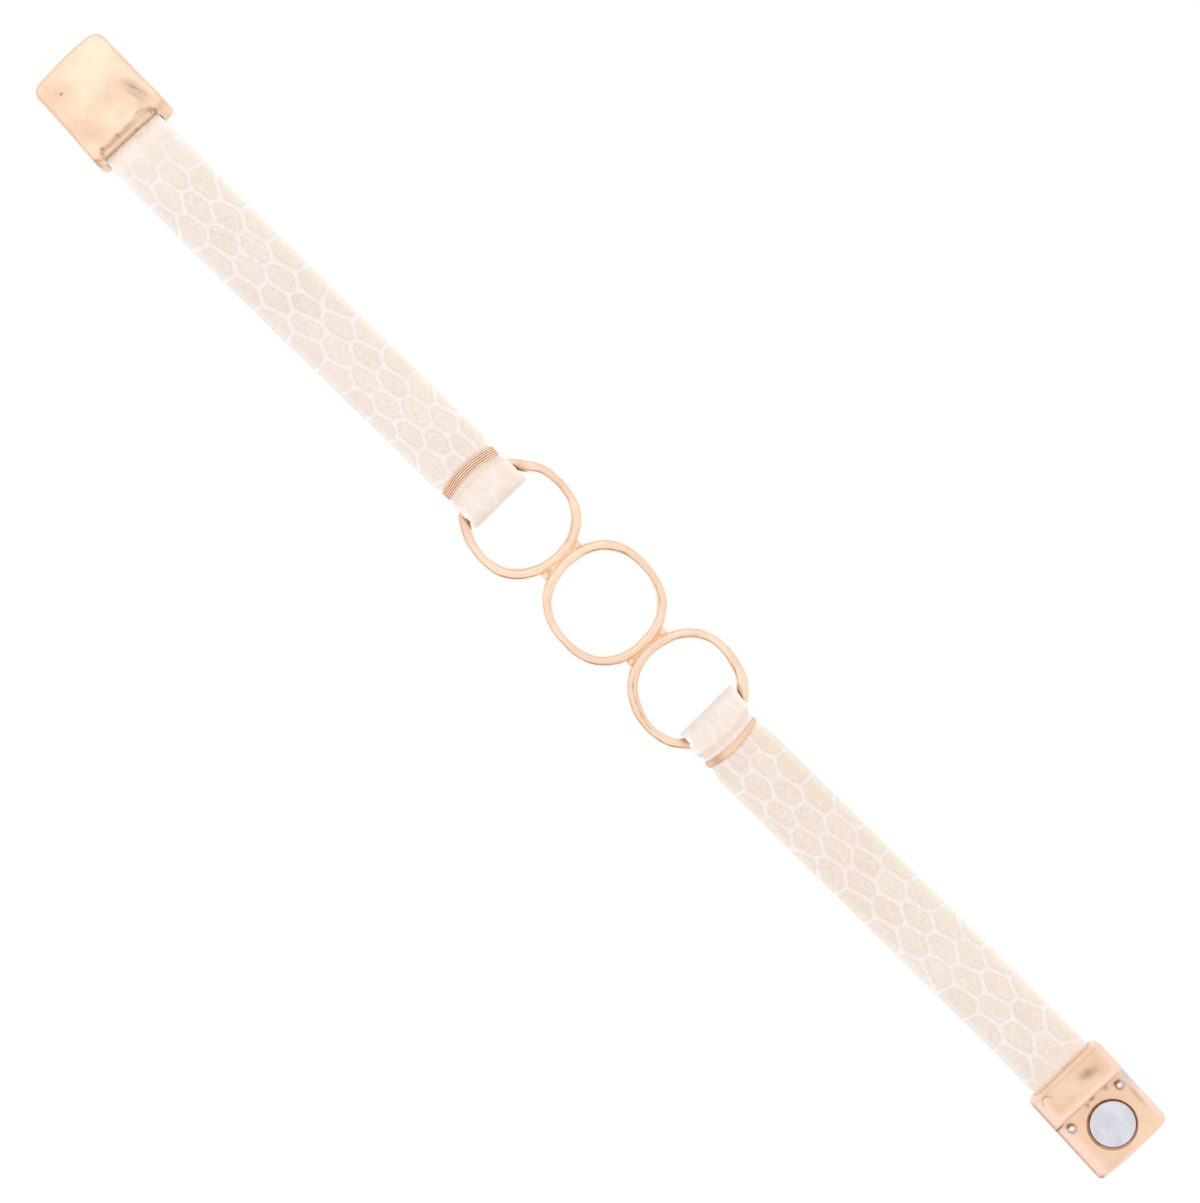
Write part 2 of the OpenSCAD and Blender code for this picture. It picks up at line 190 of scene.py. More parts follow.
# %% [markdown]
# Polished metal shows what stands round it, so the light here is a whole sky: bright overhead and
# a little pinker toward the horizon. The tent is open in front, at the bottom of the picture.
# Tops and most slopes come out pale, and only slopes that face the opening get a brown line.

# %% Sky of a photo tent
bpy.context.scene.view_settings.view_transform = "Standard"
bpy.context.scene.view_settings.look = "None"
tent = bpy.data.worlds.new("photo_tent")
bpy.context.scene.world = tent
tent.use_nodes = True
sky = Recipe(tent.node_tree, "Generated")
sky_height = sky.node("ShaderNodeSeparateXYZ", {0: sky.place})["Z"]
sky_stops = (0.0, 0.16, 0.38, 0.60, 0.85)
sky_strength = 1.04
front = (0.45, -0.89, 0)


def sky_ramp(colours):
    """Colours at the stops above, from 0 at the horizon to 1 overhead."""
    ramp = sky.tree.nodes.new("ShaderNodeValToRGB")
    sky.feed(sky_height, ramp.inputs["Fac"])
    while len(ramp.color_ramp.elements) < len(colours):
        ramp.color_ramp.elements.new(0.5)
    for stop, height, colour in zip(ramp.color_ramp.elements, sky_stops, colours):
        stop.position = height
        stop.color = (*colour, 1)
    return ramp.outputs["Color"]


cloth = sky_ramp([(0.97, 0.91, 0.89), (0.82, 0.73, 0.69), (0.95, 0.91, 0.88),
                  (1.02, 1.01, 1.0), (1.0, 1.0, 1.0)])
opening = sky_ramp([(0.62, 0.50, 0.42), (0.44, 0.34, 0.28), (0.72, 0.63, 0.57),
                    (0.97, 0.94, 0.92), (1.0, 1.0, 1.0)])
toward_front = sky.node("ShaderNodeVectorMath", {0: sky.place, 1: front}, operation="DOT_PRODUCT")
background = sky.tree.nodes["Background"].inputs
sky.feed(sky.mix(sky.band(toward_front["Value"], 0.4, 0.9), cloth, opening), background["Color"])
sky.feed(sky_strength, background["Strength"])
print("sky has", len(sky.tree.nodes), "nodes")

# %% [markdown]
# Two wide soft boxes help the sky. One hangs to the cover's side. The other hangs over the middle
# and fills the leather up to the two mouths; metal doesn't mirror it, so it leaves no spot on the
# rings.

# %% Soft boxes
def soft_box(name, place, size, watts, mirrored):
    light = bpy.data.lights.new(name, "AREA")
    light.shape = "RECTANGLE"
    light.size, light.size_y = size
    light.energy = watts
    light.color = (1.0, 0.985, 0.96)
    hung = bpy.data.objects.new(name, light)
    hung.location = place
    hung.rotation_euler = (-hung.location.normalized()).to_track_quat("-Z", "Y").to_euler()
    hung.visible_glossy = mirrored
    bpy.context.scene.collection.objects.link(hung)
    print(name, "hangs", round(hung.location.length * 1000), "mm away")


soft_box("side_box", (-0.42, 0.12, 0.62), (0.5, 0.4), 0.1, True)
soft_box("middle_box", (0.0, 0.0, 0.7), (0.4, 0.4), 1.0, False)

# %% [markdown]
# The table is a plain pale sheet, lit a little from inside like a light table, so it stays white
# right up to the bracelet.

# %% Pale table
table_half = 1.2
table_mesh = bpy.data.meshes.new("pale_table")
table_mesh.from_pydata([(x * table_half, y * table_half, 0)
                        for x, y in ((-1, -1), (1, -1), (1, 1), (-1, 1))], [], [(0, 1, 2, 3)])
pale_table = bpy.data.objects.new("pale_table", table_mesh)
bpy.context.scene.collection.objects.link(pale_table)
table_finish = Finish("pale_table")
table_finish.set(Base_Color=(0.35, 0.35, 0.35), Roughness=0.9, Specular_IOR_Level=0.1,
                 Emission_Color=(1, 1, 1), Emission_Strength=0.7)
table_finish.dress(pale_table)

# %% [markdown]
# Shapes that flow into each other, such as soldered wires or a clasp with dents and worn edges,
# could be cut with Boolean tools, but those leave hard seams and long thin faces. Here a piece
# is a field instead: a number at each point of space, below zero inside the metal. Fields join,
# cut and round off by simple sums, and one even skin is then laid where the number is zero.

# %% Rounding, joining and cutting
def ease(t):
    u = np.clip(t, 0, 1)
    return u * u * (3 - 2 * u)


def up(v, at, run):
    """0 until a value, then easing to 1 over a run; with a negative run, the other way round."""
    return ease((v - at) / run)


def window(v, low, soft_low, high, soft_high):
    """1 between two values, with ends this soft."""
    return up(v, low, soft_low) * up(v, high, -soft_high)


def near(v, at, wide):
    """1 at a value and fading out about this wide on both sides of it."""
    return np.exp(-((v - at) / wide) ** 2)


def blend(a, b, t):
    return a + (b - a) * t


def common(a, b, r):
    """What two shapes have in common, with the edge between them worn to radius r."""
    a, b = a + r, b + r
    return np.minimum(np.maximum(a, b), 0) + np.hypot(np.maximum(a, 0), np.maximum(b, 0)) - r


def joined(a, b, r):
    """Two shapes joined, with a hollow fillet of radius r between them."""
    return -common(-a, -b, r)


def cut(a, b, r):
    """The first shape less the second."""
    return common(a, -b, r)


def block(x, y, z, low, high):
    """A box, closer to a true distance outside it than inside."""
    sides = [np.maximum(lo - v, v - hi) for v, lo, hi in zip((x, y, z), low, high)]
    return np.maximum(np.maximum(sides[0], sides[1]), sides[2])


# %% [markdown]
# Wherever a grid line crosses the zero surface, the four cells round it share a square, and each
# cell keeps one point. A few Newton steps pull every point onto the true surface, which gives
# clean highlights.

# %% Laying a skin over a field
def lay_skin(field, low, high, step=0.1):
    axes = [np.arange(a, b + step, step) for a, b in zip(low, high)]
    f = field(*np.meshgrid(*axes, indexing="ij", sparse=True)).astype(np.float32)
    cells = np.array(f.shape) - 1
    total = np.zeros((int(np.prod(cells)), 3))
    count = np.zeros(int(np.prod(cells)), int)
    squares = []
    for axis in range(3):
        start = np.argwhere(np.diff(f < 0, axis=axis))
        fa, fb = f[tuple(start.T)], f[tuple((start + np.eye(3, dtype=int)[axis]).T)]
        place = start.astype(float)
        place[:, axis] += fa / (fa - fb)
        ring = []
        for du, dv in ((0, 0), (-1, 0), (-1, -1), (0, -1)):
            cell = np.clip(start + np.insert([du, dv], axis, 0), 0, cells - 1)
            index = np.ravel_multi_index(cell.T, cells)
            for k in range(3):
                total[:, k] += np.bincount(index, place[:, k], len(total))
            count += np.bincount(index, minlength=len(count))
            ring.append(index)
        square = np.array(ring).T
        turn = (fa < 0) == (axis == 1)
        square[turn] = square[turn][:, ::-1]
        squares.append(square)
    used = count > 0
    number = np.cumsum(used) - 1
    points = total[used] / count[used][:, None] * step + np.array(low)
    h = step / 4
    for _ in range(5):
        here = field(*points.T)
        slope = np.array([field(*(points + h * e).T) - field(*(points - h * e).T)
                          for e in np.eye(3)]).T / (2 * h)
        move = here[:, None] * slope / np.maximum((slope ** 2).sum(1), 0.05)[:, None]
        points = points - np.clip(move, -step / 2, step / 2)
    return points, number[np.concatenate(squares)]


# %% [markdown]
# ## Ring trio
# Three rings were bent by hand from round wire and soldered side by side. A plain torus would
# look machined, so each ring's middle radius and wire width swell and shrink with a few lobes
# read off the photograph.

# %% Rings as measured
RING_Z = 1.8
# centre x, centre y, middle radius, lobes of the radius, wire width, lobes of the width;
# a lobe is how many times it swells round the ring, by how much, and where
rings = [
    (-15.49, -0.14, 7.20, [(2, 0.06, -8), (3, 0.12, 48), (4, 0.12, 42)],
     1.53, [(1, 0.06, -96), (4, 0.15, 41)]),
    (0.17, 0.0, 7.36, [(2, 0.04, -30), (4, 0.17, 43)],
     1.49, [(1, 0.05, 146), (2, 0.10, -10), (4, 0.08, 38)]),
    (15.72, -0.09, 7.15, [(3, 0.06, 17), (4, 0.12, 32)],
     1.54, [(2, 0.08, 50), (4, 0.10, -38)]),
]
touching = list(zip(rings, rings[1:]))


def lobes(angle, rows):
    return sum(size * np.cos(n * (angle - math.radians(at))) for n, size, at in rows)


def touch_x(a, b):
    return (a[0] + a[2] + b[0] - b[2]) / 2


def round_ring(row, x, y):
    """Direction from a ring's centre, and how far outside its middle line a place is."""
    cx, cy, radius, radius_lobes = row[:4]
    angle = np.arctan2(y - cy, x - cx)
    return angle, np.hypot(x - cx, y - cy) - radius - lobes(angle, radius_lobes)


print("rings touch at x =", [round(touch_x(a, b), 2) for a, b in touching])

# %% [markdown]
# Where two rings touch, solder has run between the wires. In the middle it lies deep and leaves a
# sharp line; toward both ends it comes up and closes the notch with a small ridged pocket. The
# left ring is flatter beside its fold, and inside both folds the wire is a little slimmer, so
# that it clears the leather.

# %% Field of the rings and their solder
solder_half, solder_run = 3.3, 0.07
# where the left ring is flatter: direction in degrees, how far round, by how much
flat_at, flat_round, flat_by = 131, 15, 0.42
# the wire inside a fold: middle and half its reach in y, how softly it ends, its width
eye_y, eye_half, eye_soft, eye_wire = -0.55, 5.0, 0.37, 1.49


def one_ring(row, x, y, z):
    cx, width, width_lobes = row[0], *row[4:]
    angle, out = round_ring(row, x, y)
    if row is rings[0]:
        out = out + flat_by * near(np.degrees(angle), flat_at, flat_round)
    wobble = 0.03 * np.sin(3 * angle + cx)
    hammered = 0.012 * np.sin(17 * angle + 3 * out + cx) + 0.012 * np.sin(9 * angle - 5 * out)
    half = (width + lobes(angle, width_lobes)) / 2
    in_eye = up(np.abs(y - eye_y), eye_half, -eye_soft) * (np.abs(x) > 18)
    half = half - in_eye * np.maximum(half - eye_wire / 2, 0)
    return np.hypot(out, z - RING_Z - wobble) - half + hammered


def solder(a, b, x, y, z):
    """A lens of solder in the gap between two rings."""
    from_touch = x - touch_x(a, b)
    across = np.abs(y - (a[1] + b[1]) / 2)
    at_ends = up(across, 1.2, 0.7)
    ridges = at_ends * up(across, 2.7, -0.4) * (1 + np.sin(11 * from_touch + 3 * across))
    level = 0.28 + 0.1 * ridges - 0.2 * up(across, 2.7, 0.6)
    return np.maximum(np.maximum(np.abs(z - RING_Z) - level, across - solder_half),
                      np.abs(from_touch) - 0.75 - 0.05 * across)


def ring_field(x, y, z):
    wires = [one_ring(row, x, y, z) for row in rings]
    field = joined(joined(wires[0], wires[1], solder_run), wires[2], solder_run)
    for a, b in touching:
        field = joined(field, solder(a, b, x, y, z), 0.06)
    return field


points, faces = lay_skin(ring_field, (-23.92, -8.76, 0.75), (24.1, 8.7, 2.9))
x, y, z = points.T
off_solder = np.minimum.reduce([solder(a, b, x, y, z) for a, b in touching])
off_wire = np.minimum.reduce([one_ring(row, x, y, z) for row in rings])
off_touch = np.min([np.abs(x - touch_x(a, b)) for a, b in touching], 0)
flow = up(off_solder, 0.12, -0.2) * up(off_wire, 0.01, 0.1)
flow = flow * up(off_touch, 1.6, -0.4)
at_ends = up(np.abs(y), 1.4, 0.8)
print("highest point of the rings:", round(z.max(), 2), "mm")

# %% [markdown]
# Painted brown shade lies on the wire beside the four places where the leather's edges cross it
# and the fold opens round it. Away from the solder the wire's flanks are painted paler than its
# top, as a painted reflection. Thin brown streaks along the wire are painted reflections too;
# each row below says on which ring, between which two directions, how far round the wire's own
# section (90 is its top, more is inward) and how strong.

# %% Rings on the table
fold_edges = [(-20.0, 4.65), (-20.1, -5.2), (20.5, 4.4), (20.4, -5.2)]
# painted shade: brown on the wire where it passes into the dark opening of each fold
crevice_shade = 0.85 * np.maximum.reduce([near(x, a, 0.9) * near(y, v, 0.55) for a, v in fold_edges])
# painted reflections: thin brown streaks along the wire
streaks = [(0, 62, 98, 112, 0.6), (0, -68, -27, 52, 0.6), (0, 10, 50, 118, 0.35),
           (0, -130, -95, 110, 0.3), (1, 104, 162, 122, 0.8), (1, 36, 72, 116, 0.7),
           (1, -68, -24, 55, 0.6), (1, -165, -120, 104, 0.35), (2, -154, -82, 100, 0.8),
           (2, -82, -46, 55, 0.8), (2, 108, 152, 118, 0.6), (2, 52, 80, 124, 0.7)]
reflection_streaks = np.zeros(len(points))
for which, start, end, round_wire, strength in streaks:
    angle, out = round_ring(rings[which], x, y)
    section = np.degrees(np.arctan2(z - RING_Z, out)) - round_wire - 6 * np.sin(7 * angle + start)
    turn_on = np.degrees(angle)
    ends = window(turn_on, start, 10, end, 10) * (np.abs(out) < 1.2)
    streak = near(section, 0, 7) * (0.7 + 0.3 * np.sin(23 * angle))
    reflection_streaks = np.maximum(reflection_streaks, strength * ends * streak)
# painted reflection: paler flanks away from the solder
flank_light = up(z, RING_Z + 0.6, -0.22) * up(off_solder, 0.12, 0.2)
# the seam mask is a painted highlight down the middle of each solder joint
ring_trio = put_on_table("ring_trio_wire", points, faces, ["ring_trio"], {
    "solder_pool": flow * at_ends * up(np.abs(y), 2.9, -0.5),
    "solder_highlight": flow * (1 - at_ends), "flank_light": flank_light, "crevice_shade": crevice_shade, "reflection_streaks": reflection_streaks})

# %% [markdown]
# The plating is pale rose gold: a warm white top with peach in it and copper in its shadows.
# Real plated wire is never one colour, so two slow bands of noise shift the tint, a fine one
# breaks up the gloss, and the solder shows a deeper orange.

# %% Rose-gold finish
def rose_gold(name, pale, deep, gloss, marks):
    """Plated metal. marks are rows of mask, colour, how strongly it covers, how much it dulls
    and how much it hides the metal."""
    finish = Finish(name)
    colour = finish.tint(pale, deep, finish.noise(5, 2), 0.35, 0.7)
    colour = finish.tint(colour, deep, finish.noise(1.4, 3), 0.5, 0.8, 0.25)
    rough = [finish.band(finish.noise(1.1, 2), 0.3, 0.75, gloss * 0.8, gloss * 1.35)]
    metal = [1.0]
    for mask, stain, cover, dull, hides in marks:
        patchy = finish.band(finish.noise(0.5, 4), 0.3, 0.6, cover * 0.6, cover)
        colour = finish.mix(finish.times(finish.mask(mask), patchy), colour, stain)
        rough.append(finish.times(finish.mask(mask), dull))
        metal.append(finish.times(finish.mask(mask), -hides))
    scratch, ripple = finish.noise(0.25, 4, 0.7, (0.25, 1, 1)), finish.noise(1.6, 2)
    finish.relief(finish.sum(finish.times(scratch, 0.02), ripple), 0.02, 0.7)
    finish.set(Base_Color=colour, Metallic=finish.sum(*metal), Roughness=finish.sum(*rough),
               Specular_IOR_Level=0.5)
    return finish


crevice_shade_brown = linear(150, 100, 66)
rose_gold("rose_gold_wire", linear(250, 225, 202), linear(243, 211, 186), 0.17, [
    # painted light: paler flanks, a highlight on the solder seam, brown reflection streaks and
    # brown shade at the folds
    ("flank_light", linear(255, 240, 228), 1.0, 0.03, 0.0),
    ("solder_pool", linear(240, 176, 92), 0.95, -0.06, 0.0),
    ("solder_highlight", linear(255, 236, 196), 0.8, -0.06, 0.2),
    ("reflection_streaks", linear(160, 112, 82), 0.95, 0.1, 0.0),
    ("crevice_shade", linear(196, 148, 98), 0.9, 0.15, 0.9)]).dress(ring_trio)

# %% [markdown]
# ## Clasp
# Both halves are cast blocks, hammered and then tumbled, so no edge is sharp. Each has a pocket
# for the strap and a thinner plate. The outline is a rectangle with worn corners, and the free
# end bulges.

# %% Outline of a clasp half, seen from above
HALF_T = 5.4
PLATE_T = HALF_T / 2
POCKET_L = 4.9
SLOT_FLOOR, SLOT_TOP, SLOT_W, SLOT_L = 1.1, 3.4, 9.4, 3.6
MAGNET_D, MAGNET_T, RECESS_D = 6.0, 1.9, 6.66


def outline(x, y, sides, end, mouth):
    """sides: how far it reaches toward -Y and +Y. end: where it starts, the bulge's radius and
    middle, and the radii of its two corners. mouth: where it stops toward -Y and toward +Y."""
    side = np.maximum(-y - sides[0], y - sides[1])
    start, bulge_r, bulge_y, low_r, high_r = end
    bulge = np.hypot(x - start - bulge_r, y - bulge_y) - bulge_r
    free_end = common(side, bulge, np.where(y < 0, low_r, high_r))
    return np.maximum(free_end, common(side, x - np.where(y < 0, *mouth), 1.1))


def slot(x, y, z, length, off):
    """The slot for the strap's two ends, which is open at the mouth."""
    return block(x, y, z, (length - SLOT_L, off - SLOT_W / 2, SLOT_FLOOR),
                 (length + 2, off + SLOT_W / 2, SLOT_TOP))


def mouth_rise(x, z, length):
    """The underside, which rises a little toward the mouth."""
    return 0.4 * ease((x - length + 1.2) / 1.2) - z


# %% [markdown]
# A hammer's round face leaves shallow dents that run into each other. Each dent is a row of where
# it is, how wide and how deep. The same dents are cut in the measured model.

# %% Hammer marks
cover_marks = [
    (2.7, 2.9, 1.3, 0.05), (3.3, 0.2, 1.4, 0.04), (2.4, -2.5, 1.1, 0.04), (5.9, -2.1, 1.6, 0.05),
    (6.2, 1.3, 1.3, 0.04), (9.2, -0.9, 1.4, 0.05), (8.9, -4, 1.2, 0.04), (10.8, 1.3, 1.1, 0.04),
]
cover_pit = (3.4, -3.2, 0.22, 0.16)
base_marks = [(11.7, 2.2, 1.1, 0.09), (11.5, -0.7, 1.2, 0.06), (12.2, -3.9, 1.0, 0.05),
              (11.8, 4.4, 0.8, 0.04)]


def dents(x, y, rows):
    """How deep the hammer went at each place, with soft rims."""
    depth = 0
    for a, v, r, d in rows:
        near_dent = np.clip(1 - ((x - a) ** 2 + (y - v) ** 2) / (1.25 * r) ** 2, 0, 1)
        depth = depth + d * near_dent ** 1.5
    return depth


# %% [markdown]
# The cover lies face up with its plate raised. Behind its mouth the roof was pressed down, which
# left a slope, a groove and a rounded bead along the lip. Below the plate are its own magnet and
# two sockets for the base's pips; they are worked out although the photograph doesn't show them.

# %% Field of the clasp's cover
COVER_L = 14.15
COVER_LEDGE = COVER_L - POCKET_L
COVER_SLOT_OFF = -0.25
PIP_D, PIP_H, PIP_IN, PIP_Y = 1.3, 0.55, 1.5, 4.2
CLOSED_GAP = 0.3
MAGNET_A = 4.45
BASE_L = 14.0
BASE_LEDGE = BASE_L - POCKET_L
COVER_MAGNET_A = COVER_LEDGE - CLOSED_GAP - MAGNET_A
COVER_PIP_IN = PIP_IN + COVER_LEDGE - BASE_LEDGE - CLOSED_GAP
LIP_CUT, BEAD_BACK, DROP_BACK = 0.45, 0.64, 1.4


def turned(x, y, angle):
    return x * math.cos(angle) - y * math.sin(angle), x * math.sin(angle) + y * math.cos(angle)


def crease(x, y, middle, turn, long, wide):
    """How near a place is to a dent that is longer than it is wide, from 0 to 1."""
    along, over = turned(x - middle[0], y - middle[1], -math.radians(turn))
    return np.exp(-(along / long) ** 2 - (over / wide) ** 2)


def rolled(x, length, r):
    """How far a top edge that is rounded to radius r has come down toward the mouth."""
    u = np.clip((x - length + r) / r, 0, 0.98)
    return r * (1 - np.sqrt(1 - u * u))


def lip_window(y):
    return window(y, -4.75, 0.5, 4.5, 1.0)


def drop_line(y):
    """Where the pressed part of the roof begins; it bows away from the mouth toward +Y."""
    return COVER_L - DROP_BACK - 0.42 * near(y, 2.6, 1.5) + 0.06 * np.sin(2.1 * y + 0.6)


def cover_top(x, y):
    bead_x = COVER_L - BEAD_BACK
    drop = 0.9 * ease((x - drop_line(y)) / (bead_x - drop_line(y)))
    bead = 0.15 * near(x, bead_x, 0.16)
    waves = 0.05 * np.sin(0.75 * x + 0.5 * y) + 0.04 * np.sin(0.9 * y - 0.45 * x + 1)
    hit = 0.2 * crease(x, y, (9.7, 4.15), 15, 1.9, 0.6)
    hit = hit + 0.08 * crease(x, y, (8.5, 3.4), 35, 1.2, 0.9)
    lip = lip_window(y)
    low = lip * (drop - bead) + (1 - lip) * rolled(x, COVER_L, 1.0)
    return HALF_T + waves - dents(x, y, cover_marks + [cover_pit]) - hit - low


def cover_field(x, y, z):
    widening = up(x, 8, 4)
    sides = (5.87 + 0.16 * widening, 5.98 + 0.1 * up(x, 1, 6) + 0.17 * widening)
    rim = outline(x, y, sides, (-0.3, 46, 1.5, 1.3, 1.7), (COVER_L, COVER_L))
    body = common(rim, z - cover_top(x, y), 0.5)
    body = common(body, mouth_rise(x, z, COVER_L), 0.35)
    body = cut(body, np.maximum(x - COVER_LEDGE, z - PLATE_T), 0.14)
    body = cut(body, slot(x, y, z, COVER_L, COVER_SLOT_OFF), 0.2)
    over_lip = block(x, y, z, (COVER_L - LIP_CUT, COVER_SLOT_OFF - 4.5, SLOT_FLOOR + 0.5),
                     (COVER_L + 2, COVER_SLOT_OFF + 4.6, HALF_T + 1))
    body = cut(body, over_lip, 0.22)
    recess = np.hypot(x - COVER_MAGNET_A, y) - RECESS_D / 2
    body = cut(body, np.maximum(recess, z - PLATE_T - MAGNET_T - 0.05), 0.1)
    for side in (-1, 1):
        socket = np.hypot(x - COVER_PIP_IN, y - side * PIP_Y) - PIP_D / 2 - 0.1
        body = cut(body, np.maximum(socket, z - PLATE_T - PIP_H - 0.1), 0.06)
    return body


# %% [markdown]
# Each half is worked out lying square, then set where it lies on the table. The cover tips over
# its step, because its pocket is thicker than its plate and the plate is on top.

# %% Placing the two halves
COVER_TURN, BASE_TURN = math.radians(-2), math.radians(-2)
COVER_TIP = math.atan(PLATE_T / COVER_LEDGE)
COVER_STEP = (-89.17, -1.05)
BASE_MOUTH = (85.18, -0.08)


def lay_cover(p):
    x, y, z = p[:, 0] - COVER_LEDGE, p[:, 1], p[:, 2]
    c, s = math.cos(COVER_TIP), math.sin(COVER_TIP)
    x, z = x * c - z * s, x * s + z * c
    x, y = turned(x, y, COVER_TURN)
    return np.column_stack([x + COVER_STEP[0], y + COVER_STEP[1], z])


def lay_base(p):
    x, y = turned(BASE_L - p[:, 0], p[:, 1], BASE_TURN)
    return np.column_stack([x + BASE_MOUTH[0], y + BASE_MOUTH[1], p[:, 2]])


# %% [markdown]
# Tarnish collects where a polishing cloth can't reach, and where fingers rub, the plating wears to
# silver grey. Shade and highlights are painted onto the metal too. All are worked out from the
# shape and stored as masks, nearly all of them from the soft marks below.

# %% Soft marks
def spots(x, y, rows):
    """Round patches that add up; a row is where one is, its radius and how strong it is."""
    return sum(k * np.exp(-((x - a) ** 2 + (y - v) ** 2) / r ** 2) for a, v, r, k in rows)


def slot_dark(x, y, z, length, off, half, back):
    """Darker inside the slot, stopping a little way back from the mouth."""
    return (0.8 * window(x - length, -SLOT_L - 0.3, 0.6, -back, 0.3)
            * up(np.abs(y - off), half, -0.1) * window(z, 1.3, 0.1, 3.5, 0.1))


# %% [markdown]
# The cover gets painted shade in its groove, low on the face of its lip and in the deeper dents,
# with darker spots near the mouth, a darker slot and light grime on its top. A pink paint gives
# the shade on the ends of its side walls, like two small ears beside the strap, and on the slope
# toward the mouth, and adds a few pinker patches; cream patches are painted highlights. The
# ears' inner walls are painted pale and matte to lift their shade.

# %% The clasp's cover on the table
points, faces = lay_skin(cover_field, (-0.63, -6.53, -0.33), (COVER_L + 0.4, 6.5, 5.9))
x, y, z = points.T
on_top = up(z, 4.2, 0.6)
from_mouth = x - COVER_L
past_drop = x - drop_line(y)
# painted shade: a dark line where the groove's slope starts, and light brown inside the groove
groove_shade = up(z, 3.7, 0.2) * lip_window(y) * (
    0.10 * up(past_drop, 0.1, 0.2) * up(from_mouth, -BEAD_BACK - 0.12, -0.15)
    + 0.5 * near(past_drop, 0.12, 0.10) * (0.5 + 0.5 * np.sin(2.7 * y + 0.5)))
mouth_spots = spots(from_mouth, y, [(-1.15, -4.1, 0.2, 0.7), (-0.45, -5.8, 0.4, 0.55),
                                    (-0.35, 4.35, 0.24, 0.7), (-1.2, -1.4, 0.22, 0.6),
                                    (-0.5, 0.9, 0.2, 0.6)])
# painted shadow: a dark line low on the lip's face, where it meets the strap
lip_shade = 0.6 * near(from_mouth, -LIP_CUT - 0.02, 0.10) * window(z, 3.2, 0.2, 4.3, 0.2)
# painted shade in the long dent and the pit
dent_dirt_and_shade = (0.4 * crease(x, y, (9.7, 4.2), 15, 2.1, 0.75)
             + 0.4 * crease(x, y, (9.6, 4.35), 20, 1.5, 0.16)
             + 0.25 * crease(x, y, (10.6, 3.7), 14, 1.3, 0.12)
             + spots(x, y, [(*cover_pit[:2], 0.18, 0.9)]))
grime = spots(x, y, [(8.3, 0.9, 1.3, 0.10), (11.3, 0.8, 1.2, 0.12), (10.3, -3.9, 0.9, 0.08),
                     (11.8, 3.9, 1.2, 0.12), (3.4, -2.1, 0.6, 0.05)])
# tarnish and painted shade together, in one brown mask
cover_dirt_and_shade = (groove_shade + lip_shade + mouth_spots * up(z, 2.4, 0.6)
              + (dent_dirt_and_shade + grime) * on_top
              + slot_dark(x, y, z, COVER_L, COVER_SLOT_OFF, 4.4, 0.9))
pink = spots(x, y, [(2.6, -4.6, 2.0, 0.5), (4.6, -2.9, 1.5, 0.45), (8.6, -4.6, 2.2, 0.9),
                    (11.0, -2.6, 1.6, 0.6), (7.4, 3.0, 1.2, 0.3), (12.0, 3.6, 1.3, 0.5),
                    (2.9, -3.6, 0.5, 0.5), (7.9, -3.9, 0.6, 0.5), (6.2, 0.2, 0.7, 0.3),
                    (8.4, -1.0, 0.8, 0.3)])
# painted highlights: cream patches on the top
cream_highlight = spots(x, y, [(5.7, -0.9, 1.1, 0.9), (3.6, 0.6, 1.2, 0.6), (2.5, 3.9, 1.8, 0.8),
                     (7.3, -3.1, 0.9, 0.5), (10.3, -1.2, 1.3, 0.6), (6.8, 4.3, 1.1, 0.5)])
# painted shade: pinker on the ears' ends and on the slope toward the mouth, plus pinker patches
pink_shade_and_patches = (up(from_mouth, -1.0, 0.9) * up(np.abs(y + 0.1), 3.9, 0.6)
             + 0.5 * up(from_mouth, -2.2, 2.0) + pink)
# painted light: the ears' inner walls pale and matte, to lift their shade
lit_ear_wall = (up(from_mouth, -1.2, 0.3) * window(z, 1.2, 0.2, 4.6, 0.4)
            * window(np.abs(y - COVER_SLOT_OFF), 4.5, 0.1, 4.95, 0.1))
clasp_cover = put_on_table(
    "clasp_cover_cast", lay_cover(points), faces, ["clasp_cover"],
    {"lit_ear_wall": lit_ear_wall, "tarnish_and_shade": np.clip(cover_dirt_and_shade, 0, 1),
     "blush_light_and_shade": np.clip(pink_shade_and_patches, 0, 1), "cream_highlight": np.clip(cream_highlight, 0, 1)})

# %% [markdown]
# The base lies flat. Its ledge holds the round recess for the magnet and two domed pips that
# keep the closed clasp from sliding. Round the magnet a worn shelf shows in the gap.

# %% Field of the clasp's base
SHELF_DOWN, MAGNET_OFF = 0.28, 0.08
base_hit = (11.74, 2.16)


def tool_mark(x, y):
    """A small arc that a round tool left near the mouth."""
    return near(np.hypot(x - 12.55, y + 4.2), 0.75, 0.12) * up(x, 12.2, 0.5)


def pip(x, y, z, side):
    cap_r = ((PIP_D / 2) ** 2 + PIP_H ** 2) / (2 * PIP_H)
    away = np.hypot(x - BASE_LEDGE + PIP_IN, y - side * PIP_Y)
    ball = np.sqrt(away ** 2 + (z - PLATE_T - PIP_H + cap_r) ** 2) - cap_r
    return np.maximum(ball, PLATE_T - 0.4 - z)


